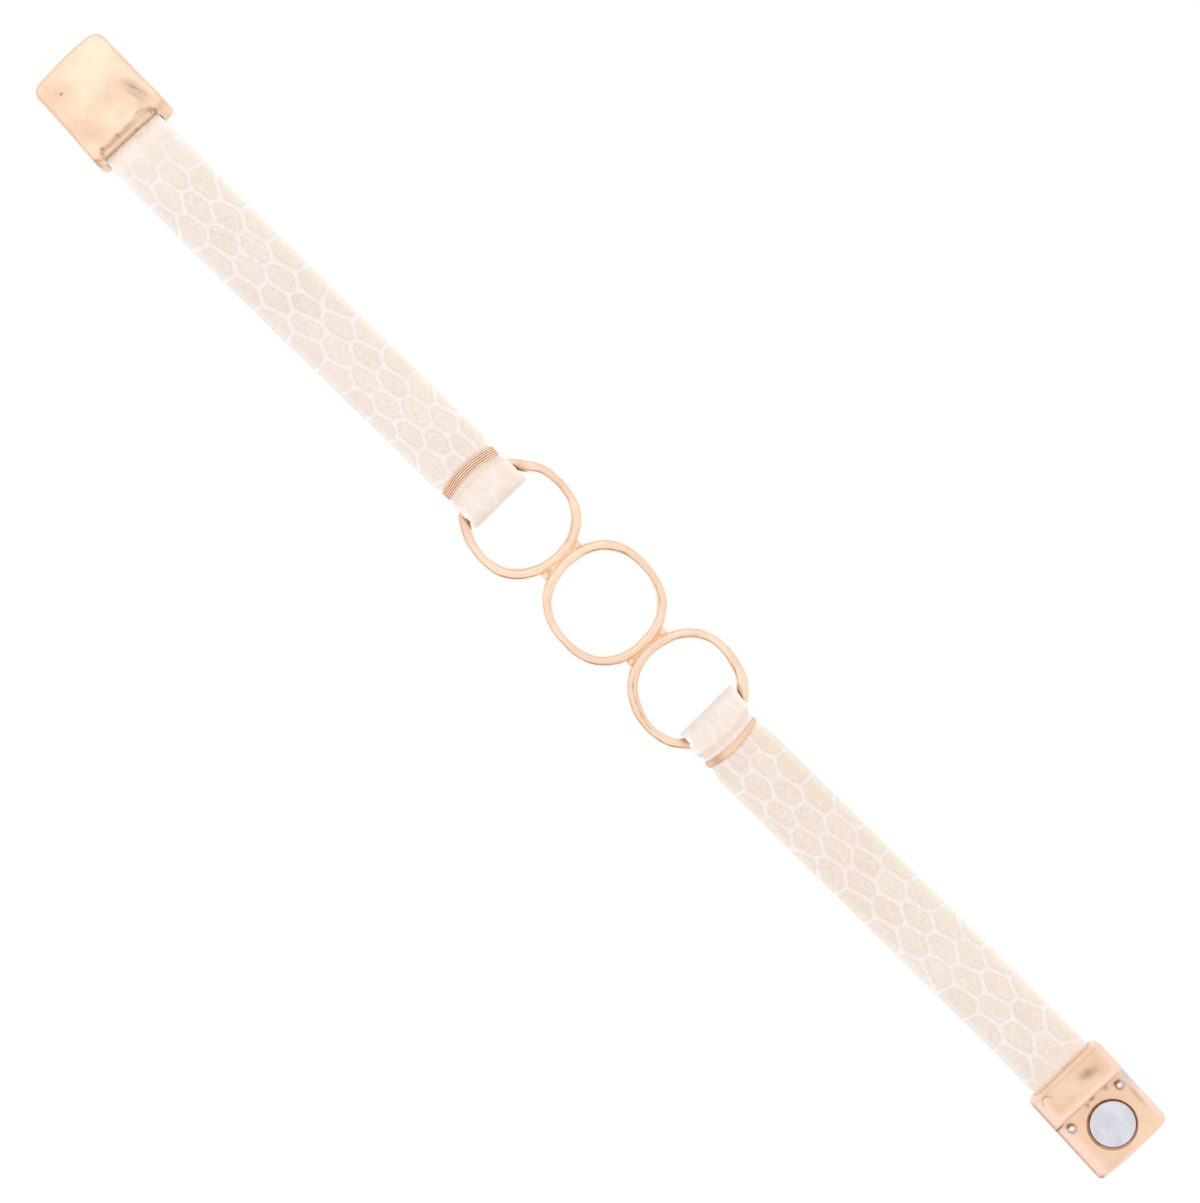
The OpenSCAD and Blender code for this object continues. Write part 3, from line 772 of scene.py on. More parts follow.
def base_field(x, y, z):
    rim = outline(x, y, (6.02, 5.9), (-0.18, 70, 0, 0.7, 1.0), (BASE_L + 0.12, BASE_L + 0.28))
    scrape = 0.07 * crease(x, y, (4.6, 5.0), 0, 1.7, 0.35)
    plate = common(rim, z - PLATE_T + scrape, 0.4)
    hit = 0.2 * crease(x, y, base_hit, -75, 1.1, 0.6)
    tool = 0.05 * tool_mark(x, y)
    waves = 0.035 * np.sin(1.1 * x + 0.8 * y) + 0.03 * np.sin(1.0 * y - x)
    bowl = 0.16 * up(np.abs(x - BASE_L + 2.35), 2.1, -1.3) * up(np.abs(y), 5.2, -1.7)
    low = bowl + rolled(x, BASE_L + 0.2, 0.35)
    roof = z - HALF_T - waves + dents(x, y, base_marks) + hit + tool + low
    roof_worn = 0.5 - 0.3 * ease((x - BASE_L + 1.5) / 1.0)
    pocket = common(common(rim, BASE_LEDGE - x, 0.4), roof, roof_worn)
    body = common(joined(plate, pocket, 0.12), mouth_rise(x, z, BASE_L), 0.35)
    body = cut(body, slot(x, y, z, BASE_L, 0), 0.2)
    well = np.hypot(x - MAGNET_A, y - MAGNET_OFF) - MAGNET_D / 2 - 0.12
    body = cut(body, np.maximum(well, PLATE_T - MAGNET_T - 0.05 - z), 0.02)
    shelf = np.maximum(np.hypot(x - MAGNET_A, y) - RECESS_D / 2, PLATE_T - SHELF_DOWN - z)
    body = cut(body, shelf, 0.08)
    for side in (-1, 1):
        body = joined(body, pip(x, y, z, side), 0.08)
    return body


# %% [markdown]
# The base gets painted shade along the foot of the step, low on the face of its lip, along its -Y
# edge, in the gap round the magnet and beside each pip; its dents are brown, partly tarnish and
# partly painted shade, and it is darker at two corners and inside the slot. Its side edges, free
# end and the top of the step get a painted pink highlight. The pips' domes are worn grey, and
# each carries one small painted highlight.

# %% The clasp's base on the table
points, faces = lay_skin(base_field, (-0.5, -6.4, -0.3), (BASE_L + 0.6, 6.4, 5.9))
x, y, z = points.T
from_step = x - BASE_LEDGE
# painted shadow along the foot of the step, darker in a few spots
step_shade = near(from_step, -0.05, 0.18) * (0.65 + 0.25 * np.sin(2.3 * y + 1)) + sum(
    k * near(from_step, a, 0.32) * near(y, v, r) for a, v, r, k in (
        (-0.15, -5.3, 0.75, 1.4), (-0.5, 2.6, 0.35, 0.7), (-0.35, 0.3, 0.45, 0.8),
        (-0.6, -0.7, 0.25, 0.7)))
# darker at two corners
dark_corners = (0.9 * near(from_step, -0.05, 0.3) * near(y, -5.6, 0.4) * up(z, 5.0, -0.5)
               + spots(x, y, [(0.2, -5.7, 0.5, 0.7)]))
# painted shadow: a dark line low on the lip's face, and a band on the roof's rolled edge
lip_shade = (0.7 * near(x, BASE_L - 0.03, 0.10) * window(z, 3.2, 0.2, 4.6, 0.3)
            + 0.16 * near(x, BASE_L - 0.5, 0.25) * up(z, 4.6, 0.3))
# painted shade along the -Y edge
side_shade = 0.35 * up(y, -5.55, -0.2) * up(x, 0.5, 1)
# brown in the dents, the tool's arc and the scrape: partly tarnish, partly painted shade
dent_dirt_and_shade = ((0.8 * crease(x, y, base_hit, -75, 1.25, 0.68)
              + 0.15 * crease(x, y, (10.6, -1.4), -60, 1.3, 0.6)) * up(z, 4.6, 0.3)
             + 0.6 * tool_mark(x, y) * up(z, 4.7, 0.2)
             + 0.5 * crease(x, y, (5.4, 4.95), 2, 2.3, 0.28) * up(z, 2.2, 0.2))
pip_shade = worn_pips = glint = 0
for side in (-1, 1):
    from_pip, beside = from_step + PIP_IN, y - side * PIP_Y
    # painted shade on the -X side of each pip's foot
    pip_shade = pip_shade + near(from_pip, 0.62, 0.28) * near(beside, -0.15, 0.5)
    on_dome = up(np.hypot(from_pip + 0.08, beside), 0.66, -0.15) * up(z, 2.72, 0.12)
    worn_pips = worn_pips + on_dome + spots(from_pip, beside, [(-0.75, -0.3, 0.4, 0.5)])
    glint = glint + up(np.hypot(from_pip - 0.12, beside + 0.12), 0.34, -0.12)
# tarnish and painted shade together, in one brown mask
base_dirt_and_shade = (step_shade * window(z, 2.3, 0.2, 3.3, 0.4) + dark_corners * up(z, 1.5, 0.5)
             + lip_shade + side_shade + 0.9 * pip_shade * window(z, 2.5, 0.1, 3.2, 0.3)
             + dent_dirt_and_shade + slot_dark(x, y, z, BASE_L, 0, 4.5, 0.5))
# painted highlight: pink along the side edges, the free end and the top of the step
edge_highlight = (up(np.abs(y - 0.3), 4.1, 1.1) + up(x, 0.4, -0.4) * up(z, 2, 0.4)
              + near(from_step, 0.55, 0.45) * up(z, 4.3, 0.4))
worn = near(y, 5.6, 0.4) * near(x, 7.9, 1.5) * window(z, 2.0, 0.3, 3.4, 0.2) + worn_pips
# painted shade in the gap round the magnet, stronger toward one side
recess_shade = (up(np.hypot(x - MAGNET_A, y), RECESS_D / 2 + 0.08, -0.1)
               * window(z, 0.3, 0.1, PLATE_T - 0.02, 0.1)
               * (0.85 + 0.25 * np.cos(np.arctan2(y, x - MAGNET_A) - math.radians(20))))
clasp_base = put_on_table(
    "clasp_base_cast", lay_base(points), faces[:, ::-1], ["clasp_base"],
    {"tarnish_and_shade": np.clip(base_dirt_and_shade, 0, 1), "blush_light_and_shade": np.clip(edge_highlight, 0, 1),
     "worn_grey": np.clip(worn, 0, 1), "glint": glint * up(z, PLATE_T + 0.1, 0.1),
     "recess": np.clip(recess_shade, 0, 1)})

# %% [markdown]
# The clasp wears the same rose gold as the rings, but cast rather than pulled into wire: softer
# gloss, deeper tint on the base, and under its masks brown tarnish with painted shade, pink
# painted shade and highlights, cream painted highlights, worn grey and matte painted light.

# %% Finishes of the clasp
tarnish_and_shade = linear(126, 78, 48)
rose_gold("rose_gold_cover", linear(242, 223, 199), linear(240, 209, 184), 0.26, [
    # painted light and shade: pink shade, cream highlights, brown shade with tarnish, pale inner
    # ear walls
    ("blush_light_and_shade", linear(236, 197, 172), 0.8, 0.1, 0.0),
    ("cream_highlight", linear(247, 231, 207), 0.8, 0.0, 0.0),
    ("tarnish_and_shade", tarnish_and_shade, 0.8, 0.15, 0.3),
    ("lit_ear_wall", linear(250, 222, 200), 1.0, 0.2, 1.0)]).dress(clasp_cover)
rose_gold("rose_gold_base", linear(245, 212, 184), linear(236, 196, 166), 0.24, [
    # painted light and shade: pink edge highlights, brown shade with tarnish, the pips' highlight,
    # the recess's shade
    ("blush_light_and_shade", linear(252, 222, 206), 0.9, 0.05, 0.0),
    ("tarnish_and_shade", tarnish_and_shade, 0.9, 0.15, 0.6),
    ("worn_grey", linear(205, 203, 212), 0.85, 0.1, 0.0),
    ("glint", linear(250, 250, 253), 1.0, 0.0, 0.5),
    ("recess", linear(152, 98, 56), 1.0, 0.15, 0.9)]).dress(clasp_base)

# %% [markdown]
# ## Magnets
# Two nickel-plated discs sit loose in their recesses. Each is a turned profile with a worn
# bevel, spun round its axis. The visible one is set off a little toward +Y.

# %% Turning a disc
def quads_between(a, b):
    """Faces between rows of point numbers; each row is closed on itself."""
    return np.stack([a, b, np.roll(b, -1, 1), np.roll(a, -1, 1)], -1).reshape(-1, 4)


def turn_disc(profile, sides):
    """Points and faces of a profile of (radius, height) spun round Z, closed at its two ends."""
    angles = np.arange(sides) * 2 * math.pi / sides
    spun = [np.column_stack([r * np.cos(angles), r * np.sin(angles), np.full(sides, h)])
            for r, h in profile]
    grid = np.arange(len(profile) * sides).reshape(-1, sides)
    low, top = len(profile) * sides, (len(profile) - 1) * sides
    made = quads_between(grid[:-1], grid[1:])[:, [0, 3, 2, 1]].tolist()
    made += [(low, (k + 1) % sides, k) for k in range(sides)]
    made += [(low + 1, top + k, top + (k + 1) % sides) for k in range(sides)]
    ends = np.array([[0, 0, profile[0][1]], [0, 0, profile[-1][1]]])
    return np.vstack(spun + [ends]), made


bevel = 0.2
disc_d = MAGNET_D + 0.12
bevel_angles = np.radians([0, 22.5, 45, 67.5, 90])
rim = [(disc_d / 2 - bevel + bevel * math.sin(a), bevel - bevel * math.cos(a))
       for a in bevel_angles]
rim += [(disc_d / 2 - bevel + bevel * math.cos(a), MAGNET_T - bevel + bevel * math.sin(a))
        for a in bevel_angles]
face_r = (0.6, 1.4, 2.2)
profile = [(r, rim[0][1]) for r in face_r] + rim + [(r, rim[-1][1]) for r in face_r[::-1]]
disc_points, disc_faces = turn_disc(profile, 96)
print("magnet:", disc_d, "by", MAGNET_T, "mm")

# %% Nickel finish
nickel = Finish("scuffed_nickel")
brushed = nickel.noise(0.35, 5, 0.65)
cloud = nickel.noise(2.2, 3)
grey = nickel.tint(linear(227, 226, 233), linear(208, 207, 216), cloud, 0.35, 0.7)
grey = nickel.tint(grey, linear(192, 191, 200), brushed, 0.55, 0.75, 0.5)
nickel.set(Base_Color=grey, Metallic=1.0, Roughness=nickel.band(brushed, 0.3, 0.7, 0.22, 0.42))
uneven = nickel.sum(nickel.times(brushed, 0.5), nickel.times(nickel.noise(1.2, 2), 0.7))
nickel.relief(uneven, 0.012, 0.6)

# %% Magnets in their recesses
in_cover = disc_points + [COVER_MAGNET_A, 0, PLATE_T + 0.02]
cover_magnet = put_on_table("cover_magnet_disc", lay_cover(in_cover), disc_faces,
                            ["cover_magnet"])
in_base = disc_points + [MAGNET_A, MAGNET_OFF, PLATE_T - MAGNET_T - 0.02]
base_magnet = put_on_table("base_magnet_disc", lay_base(in_base), [f[::-1] for f in disc_faces],
                           ["base_magnet"])
nickel.dress(cover_magnet, base_magnet)

# %% [markdown]
# ## Straps
# A strap is one strip of leather, folded in two round its ring and bound behind it with wire. It
# could be a cloth simulation, but leather this thick holds its fold. So the strip is lofted along
# the measured model's path: out along the lower layer, round the fold, and back along the upper
# layer, with its two ends in the clasp.

# %% Where each strap lies
PLY, SLIT = 1.0, 0.04
EYE_R = 1.8
EYE_GAP_R = EYE_R - PLY
FLAT_Z = PLY + SLIT / 2
STRAP_W, BOUND_W, EXIT_W = 9.26, 8.3, 9.3
WIRE_D = 1.5
SLOT_MID = (SLOT_FLOOR + SLOT_TOP) / 2
exit_x = COVER_STEP[0] + POCKET_L * math.cos(COVER_TIP) - SLOT_MID * math.sin(COVER_TIP)
exit_z = POCKET_L * math.sin(COVER_TIP) + SLOT_MID * math.cos(COVER_TIP)
left_fold, right_fold = -18.41, 19.17
left_strap = dict(
    fold=left_fold, way=-1, bind=6.35, wire=4.27,
    end=left_fold - exit_x + SLOT_L * math.cos(COVER_TIP) - 0.25,
    line=[(-88.6, -1.33), (-85, -1.455), (-80, -1.47), (-71, -1.48), (-55, -1.22), (-39, -0.82),
          (-26, -0.62), (-18.4, -0.51)])
right_strap = dict(
    fold=right_fold, way=1, bind=6.1, wire=3.66,
    end=BASE_MOUTH[0] - right_fold + SLOT_L - 0.2,
    line=[(19.2, -0.35), (25.3, -0.93), (31, -0.82), (50, -0.5), (58, -0.37), (76, -0.12),
          (85.2, -0.1), (89, -0.22)])
for strap in (left_strap, right_strap):
    print("from its fold to its end a strap is", round(strap["end"], 1), "mm long")

# %% [markdown]
# The wire squeezes the two layers where it binds them, the leather domes up between, and in
# front of the wire the fold opens round the ring. These few curves say it all.

# %% How the layers lie
# beside the wire: how far the leather is fully pressed or narrowed, and how far that fades
PRESSED, PRESSED_RUN = 0.95, 2.2
NARROW, NARROW_RUN = 0.8, 1.5


def rise(a, slope_a, b, slope_b, length, out):
    """A rise or fall over a length that starts and ends with given slopes."""
    u = np.clip(out / length, 0, 1)
    return (a * (2 * u ** 3 - 3 * u ** 2 + 1) + slope_a * length * (u ** 3 - 2 * u ** 2 + u)
            + b * (3 * u ** 2 - 2 * u ** 3) + slope_b * length * (u ** 3 - u ** 2))


def mid_height(s, along):
    if s["way"] < 0:
        out = s["fold"] - along - exit_x
        tip = math.tan(COVER_TIP)
        return np.where(out < 0, exit_z + out * tip, rise(exit_z, tip, FLAT_Z, 0, 40, out))
    out = BASE_MOUTH[0] - s["fold"] - along
    return rise(SLOT_MID, 0, FLAT_Z, 0, 14, out)


def half_width(s, along):
    full = blend(EXIT_W, STRAP_W, ease((s["end"] - 4 - along) / 5)) - 0.2 * ease(1 - along / 2)
    squeezed = up(np.abs(along - s["bind"]), NARROW + NARROW_RUN, -NARROW_RUN)
    return blend(full, BOUND_W, squeezed) / 2


def opening(s, along):
    return up(along, blend(s["wire"] + WIRE_D / 2 + 0.38, s["bind"], 0.05), -0.92)


def pair_lie(s, along, across):
    """Middle height and half thickness of the two layers together."""
    p = up(np.abs(along - s["bind"]), PRESSED + PRESSED_RUN, -PRESSED_RUN)
    swell = 0.3 * (1 - across ** 2)
    outer = up(along, s["bind"] - 0.85, -1.45)
    mid = blend(mid_height(s, along) + p * (0.36 - 0.1 + swell / 2), EYE_R, outer)
    half = blend(PLY + SLIT / 2 - p * (0.2 - swell) / 2, EYE_R, outer)
    return mid, half


def centre_line(s, x):
    xs, ys = zip(*s["line"])
    return np.interp(x, xs, ys)


# %% [markdown]
# Every point of the strip has a place along it, a place across it from -1 to 1, and a depth from
# its embossed face (0) to its rough back (1). Two functions turn those three into millimetres, one
# for the straight layers and one for the fold.

# %% Strip to space
# how far the middle of the strip runs ahead of its edges where it bends round the ring
BOW = 0.62


def layer_points(s, along, across, side):
    """Embossed face and back face of one layer; side is 1 for the upper and -1 for the lower."""
    slope = (mid_height(s, along + 0.05) - mid_height(s, along - 0.05)) / 0.1
    angle = np.arctan(slope)
    bow = BOW * across ** 2 * up(along, s["bind"] + 4, -3) * up(along, 2.6, 2)
    mid, half = pair_lie(s, along, across)
    open_now = opening(s, along)
    gap_mid = blend(mid, EYE_R, np.minimum(1, 1.7 * open_now))
    gap_half = blend(SLIT / 2, EYE_GAP_R, open_now)
    y = centre_line(s, s["fold"] + s["way"] * along) + across * half_width(s, along)
    made = []
    for height, off in ((mid, side * half), (gap_mid, side * gap_half)):
        x = s["fold"] + s["way"] * (along - bow - off * np.sin(angle))
        made.append(np.stack([x, y, height + off * np.cos(angle)], -1))
    return made


def fold_points(s, turn, across):
    """The same two faces round the fold; turn runs from -90 (below) to 90 degrees (above)."""
    y = centre_line(s, s["fold"]) + across * half_width(s, np.zeros(1))
    reach = EYE_GAP_R + 0.48 * across ** 2
    made = []
    for flat, tall in ((EYE_R + 0 * across, EYE_R), (reach, EYE_GAP_R)):
        x = s["fold"] + s["way"] * (EYE_R - flat * np.cos(turn))
        made.append(np.stack([x, y, np.full(len(x), EYE_R + tall * np.sin(turn))], -1))
    return made


# %% [markdown]
# Reading the pattern: the leather is pressed with rows of long scales, rounded hexagons about
# 5 mm by 2.3 mm, pale beige with pinkish white lines between them. A ready-made Voronoi texture
# never puts its cells in the right places, so the middles of the scales that the photograph shows
# are charted row by row.

# %% Chart of the scales, left strap and right strap
left_scales = [
    (-83.9, 2.4), (-79.9, 1.8), (-74.8, 1.4), (-71.8, 3.2), (-66.4, 2.7), (-61.2, 2.5),
    (-55.9, 2.1), (-51.9, 2.9), (-46.1, 2.9), (-40.8, 2.9), (-36.0, 2.9), (-32.9, 4.4),
    (-31.3, 2.2), (-27.6, 3.7), (-82.8, -0.5), (-78.4, -0.7), (-69.8, 0.6), (-64.5, 0.2),
    (-59.3, 0.0), (-54.7, -0.4), (-49.6, 1.0), (-44.2, 0.8), (-39.4, 0.7), (-34.6, 0.1),
    (-29.5, -0.6), (-27.0, 1.5), (-25.6, -1.0), (-85.6, -2.4), (-81.7, -2.9), (-76.9, -3.2),
    (-73.4, -1.5), (-68.0, -2.0), (-63.0, -2.2), (-58.0, -2.5), (-52.7, -2.1), (-47.3, -1.5),
    (-42.1, -1.6), (-37.8, -1.9), (-32.9, -2.5), (-28.1, -3.0), (-84.0, -5.0), (-79.6, -5.3),
    (-75.2, -5.6), (-71.9, -3.9), (-66.5, -4.5), (-61.4, -4.7), (-56.0, -4.9), (-50.4, -4.0),
    (-44.9, -3.8), (-40.3, -4.1), (-36.0, -4.3), (-32.0, -4.9),
]
right_scales = [
    (28.2, 2.4), (33.0, 2.3), (38.2, 2.4), (42.6, 4.1), (43.4, 1.7), (47.2, 3.4), (51.9, 3.5),
    (53.2, 1.2), (56.9, 3.0), (62.1, 2.7), (66.8, 2.0), (72.4, 1.9), (77.9, 2.1), (81.9, 4.0),
    (75.4, 4.3), (69.8, 4.4), (26.7, 0.7), (30.2, 0.4), (34.9, 0.0), (39.4, -0.4), (45.0, -0.6),
    (48.9, 0.8), (58.6, 0.7), (63.9, 0.3), (69.1, -0.4), (74.2, -0.6), (79.0, -0.9), (83.4, 0.8),
    (85.0, -1.6), (27.3, -1.9), (31.8, -2.2), (36.4, -2.6), (41.3, -2.9), (46.4, -3.4),
    (50.2, -1.6), (55.3, -1.5), (60.5, -2.0), (65.5, -2.4), (70.4, -2.8), (75.3, -3.3),
    (81.1, -3.4), (28.3, -4.4), (33.0, -4.8), (37.7, -4.7), (43.4, -4.9), (51.9, -3.8),
    (57.2, -4.1), (63.2, -4.5), (22.9, 1.5), (21.6, -2.9), (25.0, -0.9), (21.0, 4.2),
]
print("scales charted:", len(left_scales), "and", len(right_scales))

# %% [markdown]
# The chart is in the photograph's own ruler, so it is brought to the strap's height and to the
# middle of the bracelet. The rest of the strip is filled with scales of the same size: a jittered
# lattice first, then one more wherever a hole is left. Near the strap's edges a hole may be
# larger, because there the scales run on past the cut.

# %% Filling the rest of the hide
SQUASH = np.array([0.6, 1])
SCALE_L, SCALE_ROW = 4.95, 2.35
chart_ruler = 0.9943
hide_random = np.random.default_rng(11)


def chart_on_strip(s, scales):
    """Distance along from the fold and distance across from the strap's middle, in mm."""
    x, y = np.array(scales).T
    x, y = x * chart_ruler + view_x, y * chart_ruler + view_y
    return np.column_stack([(x - s["fold"]) * s["way"], y - centre_line(s, x)])


def fill_hide(charted, low, high):
    lattice = [(a + (SCALE_L / 2 if k % 2 else 0), v)
               for k, v in enumerate(np.arange(-8, 8.1, SCALE_ROW))
               for a in np.arange(low - 5, high + 5, SCALE_L)]
    lattice = np.array(lattice) + hide_random.normal(0, 1, (len(lattice), 2)) * [0.35, 0.18]
    free = ((lattice[:, 0] < charted[:, 0].min() - 3.2)
            | (lattice[:, 0] > charted[:, 0].max() + 3.2))
    centres = np.vstack([charted, lattice[free]])
    a, v = np.meshgrid(np.arange(low - 5, high + 5, 0.3), np.arange(-4.8, 4.9, 0.3))
    spots_here = np.column_stack([a.ravel(), v.ravel()]) * SQUASH
    nearest = np.min([np.hypot(*(spots_here - c * SQUASH).T) for c in centres], 0)
    hole = 1.95 + 0.75 * up(np.abs(spots_here[:, 1]), 3.0, 1.2)
    while (nearest - hole).max() > 0:
        best = spots_here[(nearest - hole).argmax()]
        centres = np.vstack([centres, best / SQUASH])
        nearest = np.minimum(nearest, np.hypot(*(spots_here - best).T))
    return centres


# %% [markdown]
# Between two neighbouring scales the groove runs where both are equally far. A soft minimum over
# the neighbours, not a hard one, rounds the corners of the pads and widens the grooves where
# three of them meet, as on the real hide.

# %% Distance to the nearest groove
NEIGHBOURS, CORNER_SOFT = 7, 0.16


def scale_map(centres, along, across_mm):
    """Distance in mm from each place to the edge of its scale, and which scale it is on."""
    places, middles = np.column_stack([along, across_mm]) * SQUASH, centres * SQUASH
    far = ((places[:, None, :] - middles[None]) ** 2).sum(2)
    nearest = np.argsort(far, 1)[:, :NEIGHBOURS]
    own, every = nearest[:, 0], np.arange(len(places))
    total = np.zeros(len(places))
    for other in nearest.T[1:]:
        gap = middles[other] - middles[own]
        size = np.hypot(*gap.T)
        bisect = (far[every, other] - far[every, own]) / (2 * size)
        stretch = np.hypot(gap[:, 0] / size * SQUASH[0], gap[:, 1] / size)
        total += np.exp(-bisect / stretch / CORNER_SOFT)
    return -CORNER_SOFT * np.log(total), own


# %% [markdown]
# The strip's section is a thin bar with its edges cut and slightly rounded. The embossed side
# carries most of the points, because its grooves are real geometry.

# %% Section and stations of a strip
cut_r = 0.16


def strip_section(wide):
    """Rows of across (-1 to 1) and depth (0 embossed face, 1 back), once round the section."""
    half = STRAP_W / 2
    face = np.linspace(-1, 1, wide) * (half - cut_r) / half
    back = np.linspace(1, -1, 17) * (half - cut_r) / half
    arc = [((half - cut_r + cut_r * math.sin(a)) / half, cut_r * (1 - math.cos(a)))
           for a in np.radians([18, 36, 54, 72])]
    edge = arc + [(1, 0.3), (1, 0.5), (1, 0.7)] + [(c, 1 - d) for c, d in arc[::-1]]
    return np.array([(c, 0) for c in face] + edge
                    + [(c, 1) for c in back] + [(-c, d) for c, d in edge[::-1]])


def strip_stations(s, pitch):
    """Places along the strip: sides -1, 0 and 1 are the lower layer, the fold and the upper."""
    top = np.arange(EYE_R + 0.1, s["end"], pitch)
    low = np.arange(EYE_R + 0.1, s["end"], pitch * 1.25)
    turns = np.radians(np.linspace(-90, 90, int(math.pi * EYE_R / pitch) + 1))
    return [(-1, a) for a in low[::-1]] + [(0, t) for t in turns] + [(1, a) for a in top]


# %% [markdown]
# Lofting joins each section to the next. The masks tell the finish how near a groove is, how dark
# each scale is, where the leather is worn pale at the fold, where it is painted light against the
# shade beside the binding and near the mouths, where it is warmer, and where its cut edge and its
# rough back are.

# %% Lofting a strap
def build_strap(name, s, scales, solid):
    across, depth = strip_section(60).T
    stations = strip_stations(s, 0.16)
    n, m = len(stations), len(across)
    centres = fill_hide(chart_on_strip(s, scales), -s["end"] - 4, s["end"] + 2)
    tones = hide_random.normal(0, 1, len(centres))
    rows, runs, inward = [], [], []
    for side, place in stations:
        if side == 0:
            face, back = fold_points(s, place, across)
            runs.append(EYE_R - (math.pi / 2 - place) * EYE_R)
            inward.append((s["way"] * math.cos(place), 0, -math.sin(place)))
        else:
            face, back = layer_points(s, place, across, side)
            runs.append(place if side > 0 else EYE_R - math.pi * EYE_R - (place - EYE_R))
            inward.append((0, 0, -side))
        rows.append(face + (back - face) * depth[:, None])
    run, side = np.repeat(runs, m), np.repeat([side for side, place in stations], m)
    v, d = np.tile(across, n) * STRAP_W / 2, np.tile(depth, n)
    groove, own = scale_map(centres, run, v)
    face_up = up(d, 0.2, -0.16)
    line = up(groove, 0.36, -0.34)
    shallow = 1 - 0.6 * up(run, s["bind"], -1.2)
    pressed = (0.06 * line + 0.035 * up(groove, 0.9, -0.9)) * face_up * shallow
    points = np.concatenate(rows) + np.repeat(inward, m, 0) * pressed[:, None]
    ragged = 0.025 * np.sin(run * 2.9 + 1.3) * np.sin(run * 7.3) * up(np.abs(v), 4.2, 0.5)
    points[:, 1] += ragged * np.sign(v)
    grid = np.arange(n * m).reshape(n, m)
    quads = quads_between(grid[:-1], grid[1:])
    caps = [list(grid[0]), list(grid[-1][::-1])]
    from_bind, in_slot = run - s["bind"], run - s["end"] + SLOT_L
    # worn pale at the fold; painted light near the mouth, against the clasp's shade
    fold_fade, mouth_light = 0.6, 0.6 * up(in_slot, -2.0, 1.4)
    warmer = 1 - 0.5 * up(run, 28, 12)
    if s["way"] < 0:
        quads, caps = quads[:, ::-1], [c[::-1] for c in caps]
        fold_fade, warmer = 0.75, ease(-from_bind)
        mouth_light = 0.6 * up(in_slot, -3.2, 3.0) + 0.35 * up(in_slot, -9, 6)
    faded_and_lit = up(from_bind, 0.5, -1.2) * fold_fade + mouth_light
    # painted light: lighter where the leather lies in shade beside the binding and at the mouth
    shaded = window(from_bind, -2.4, 0.7, -0.7, 0.3) + up(in_slot, -2.4, 2.2)
    made = put_on_table(name, points, quads.tolist() + caps, [solid], {
        "groove": np.clip(1 - groove / 0.9, 0, 1) * face_up,
        "faded_and_lit": np.clip(faded_and_lit, 0, 1) * face_up,
        "scale_tone": tones[own],
        "shaded": np.clip(shaded, 0, 1) * (side > 0),
        "warmer": warmer,
        "edge_fade": up(np.abs(v), 3.6, 1.0),
        "cut_edge": up(np.abs(v), 4.5, 0.2) * window(d, 0.08, 0.1, 0.95, 0.1),
        "rough_back": up(d, 0.85, 0.12),
        "across": v / (STRAP_W / 2)})
    print("  scales:", len(centres), " deepest groove:", round(float(pressed.max()), 3), "mm")
    return made


strap_left = build_strap("strap_left_hide", left_strap, left_scales, "strap_left")
strap_right = build_strap("strap_right_hide", right_strap, right_scales, "strap_right")

# %% [markdown]
# The hide is dyed beige and rubbed with a pale paste that stays in the grooves. Each pad gets
# its own tone, a fine speckle and a slightly darker rim of painted shade where it dips into the
# groove. Toward +Y the strap is warmer, toward -Y greyer and pinker. The fold is worn pale;
# beside the binding and near the mouths, where the leather lies in shade, it is painted paler as
# light. The cut edges are creamy and the back is suede.

# %% Embossed leather finish
hide = Finish("embossed_hide")
pad = hide.tint(linear(244, 232, 220), linear(238, 224, 210), hide.mask("scale_tone"), -1.8, 1.8)
pad = hide.tint(pad, linear(222, 204, 190), hide.noise(0.4, 4, 0.7), 0.46, 0.7, 0.7)
pad = hide.tint(pad, linear(250, 242, 238), hide.noise(0.7, 4, 0.7), 0.48, 0.68, 0.7)
pad = hide.tint(pad, linear(243, 232, 217), hide.noise(3.5, 2), 0.4, 0.7, 0.35)
pad = hide.tint(pad, linear(248, 233, 212), hide.mask("across"), 0.3, 1.0, 0.5)
pad = hide.tint(pad, linear(238, 224, 216), hide.mask("across"), -0.3, -1.0, 0.35)
paste = hide.tint(linear(250, 241, 238), linear(244, 231, 226), hide.noise(0.6, 3), 0.35, 0.7)
paste = hide.tint(paste, linear(226, 214, 214), hide.noise(0.3, 2), 0.62, 0.72, 0.5)
wander = hide.band(hide.noise(0.5, 5, 0.75), 0.25, 0.75, -0.26, 0.26)
ragged_line = hide.sum(hide.mask("groove"), wander)
# painted shade: a slightly darker rim round each pad where it dips into the groove
pad = hide.mix(hide.times(hide.band(ragged_line, 0.38, 0.58), 0.4), pad, linear(228, 212, 200))
colour = hide.tint(pad, paste, ragged_line, 0.56, 0.84)
worn_and_lit_pale = hide.tint(linear(253, 244, 241), linear(252, 238, 225), hide.noise(2.2, 2), 0.42, 0.62)
cut_leather = hide.mix(hide.noise(0.3, 4), linear(250, 240, 218), linear(238, 222, 196))
suede = hide.mix(hide.noise(0.4, 4), linear(240, 226, 204), linear(222, 204, 178))
# worn pale at the fold and painted light near the mouths
colour = hide.mix(hide.times(hide.mask("faded_and_lit"), 0.8), colour, worn_and_lit_pale)
colour = hide.mix(hide.mask("cut_edge"), colour, cut_leather)
colour = hide.mix(hide.mask("rough_back"), colour, suede)
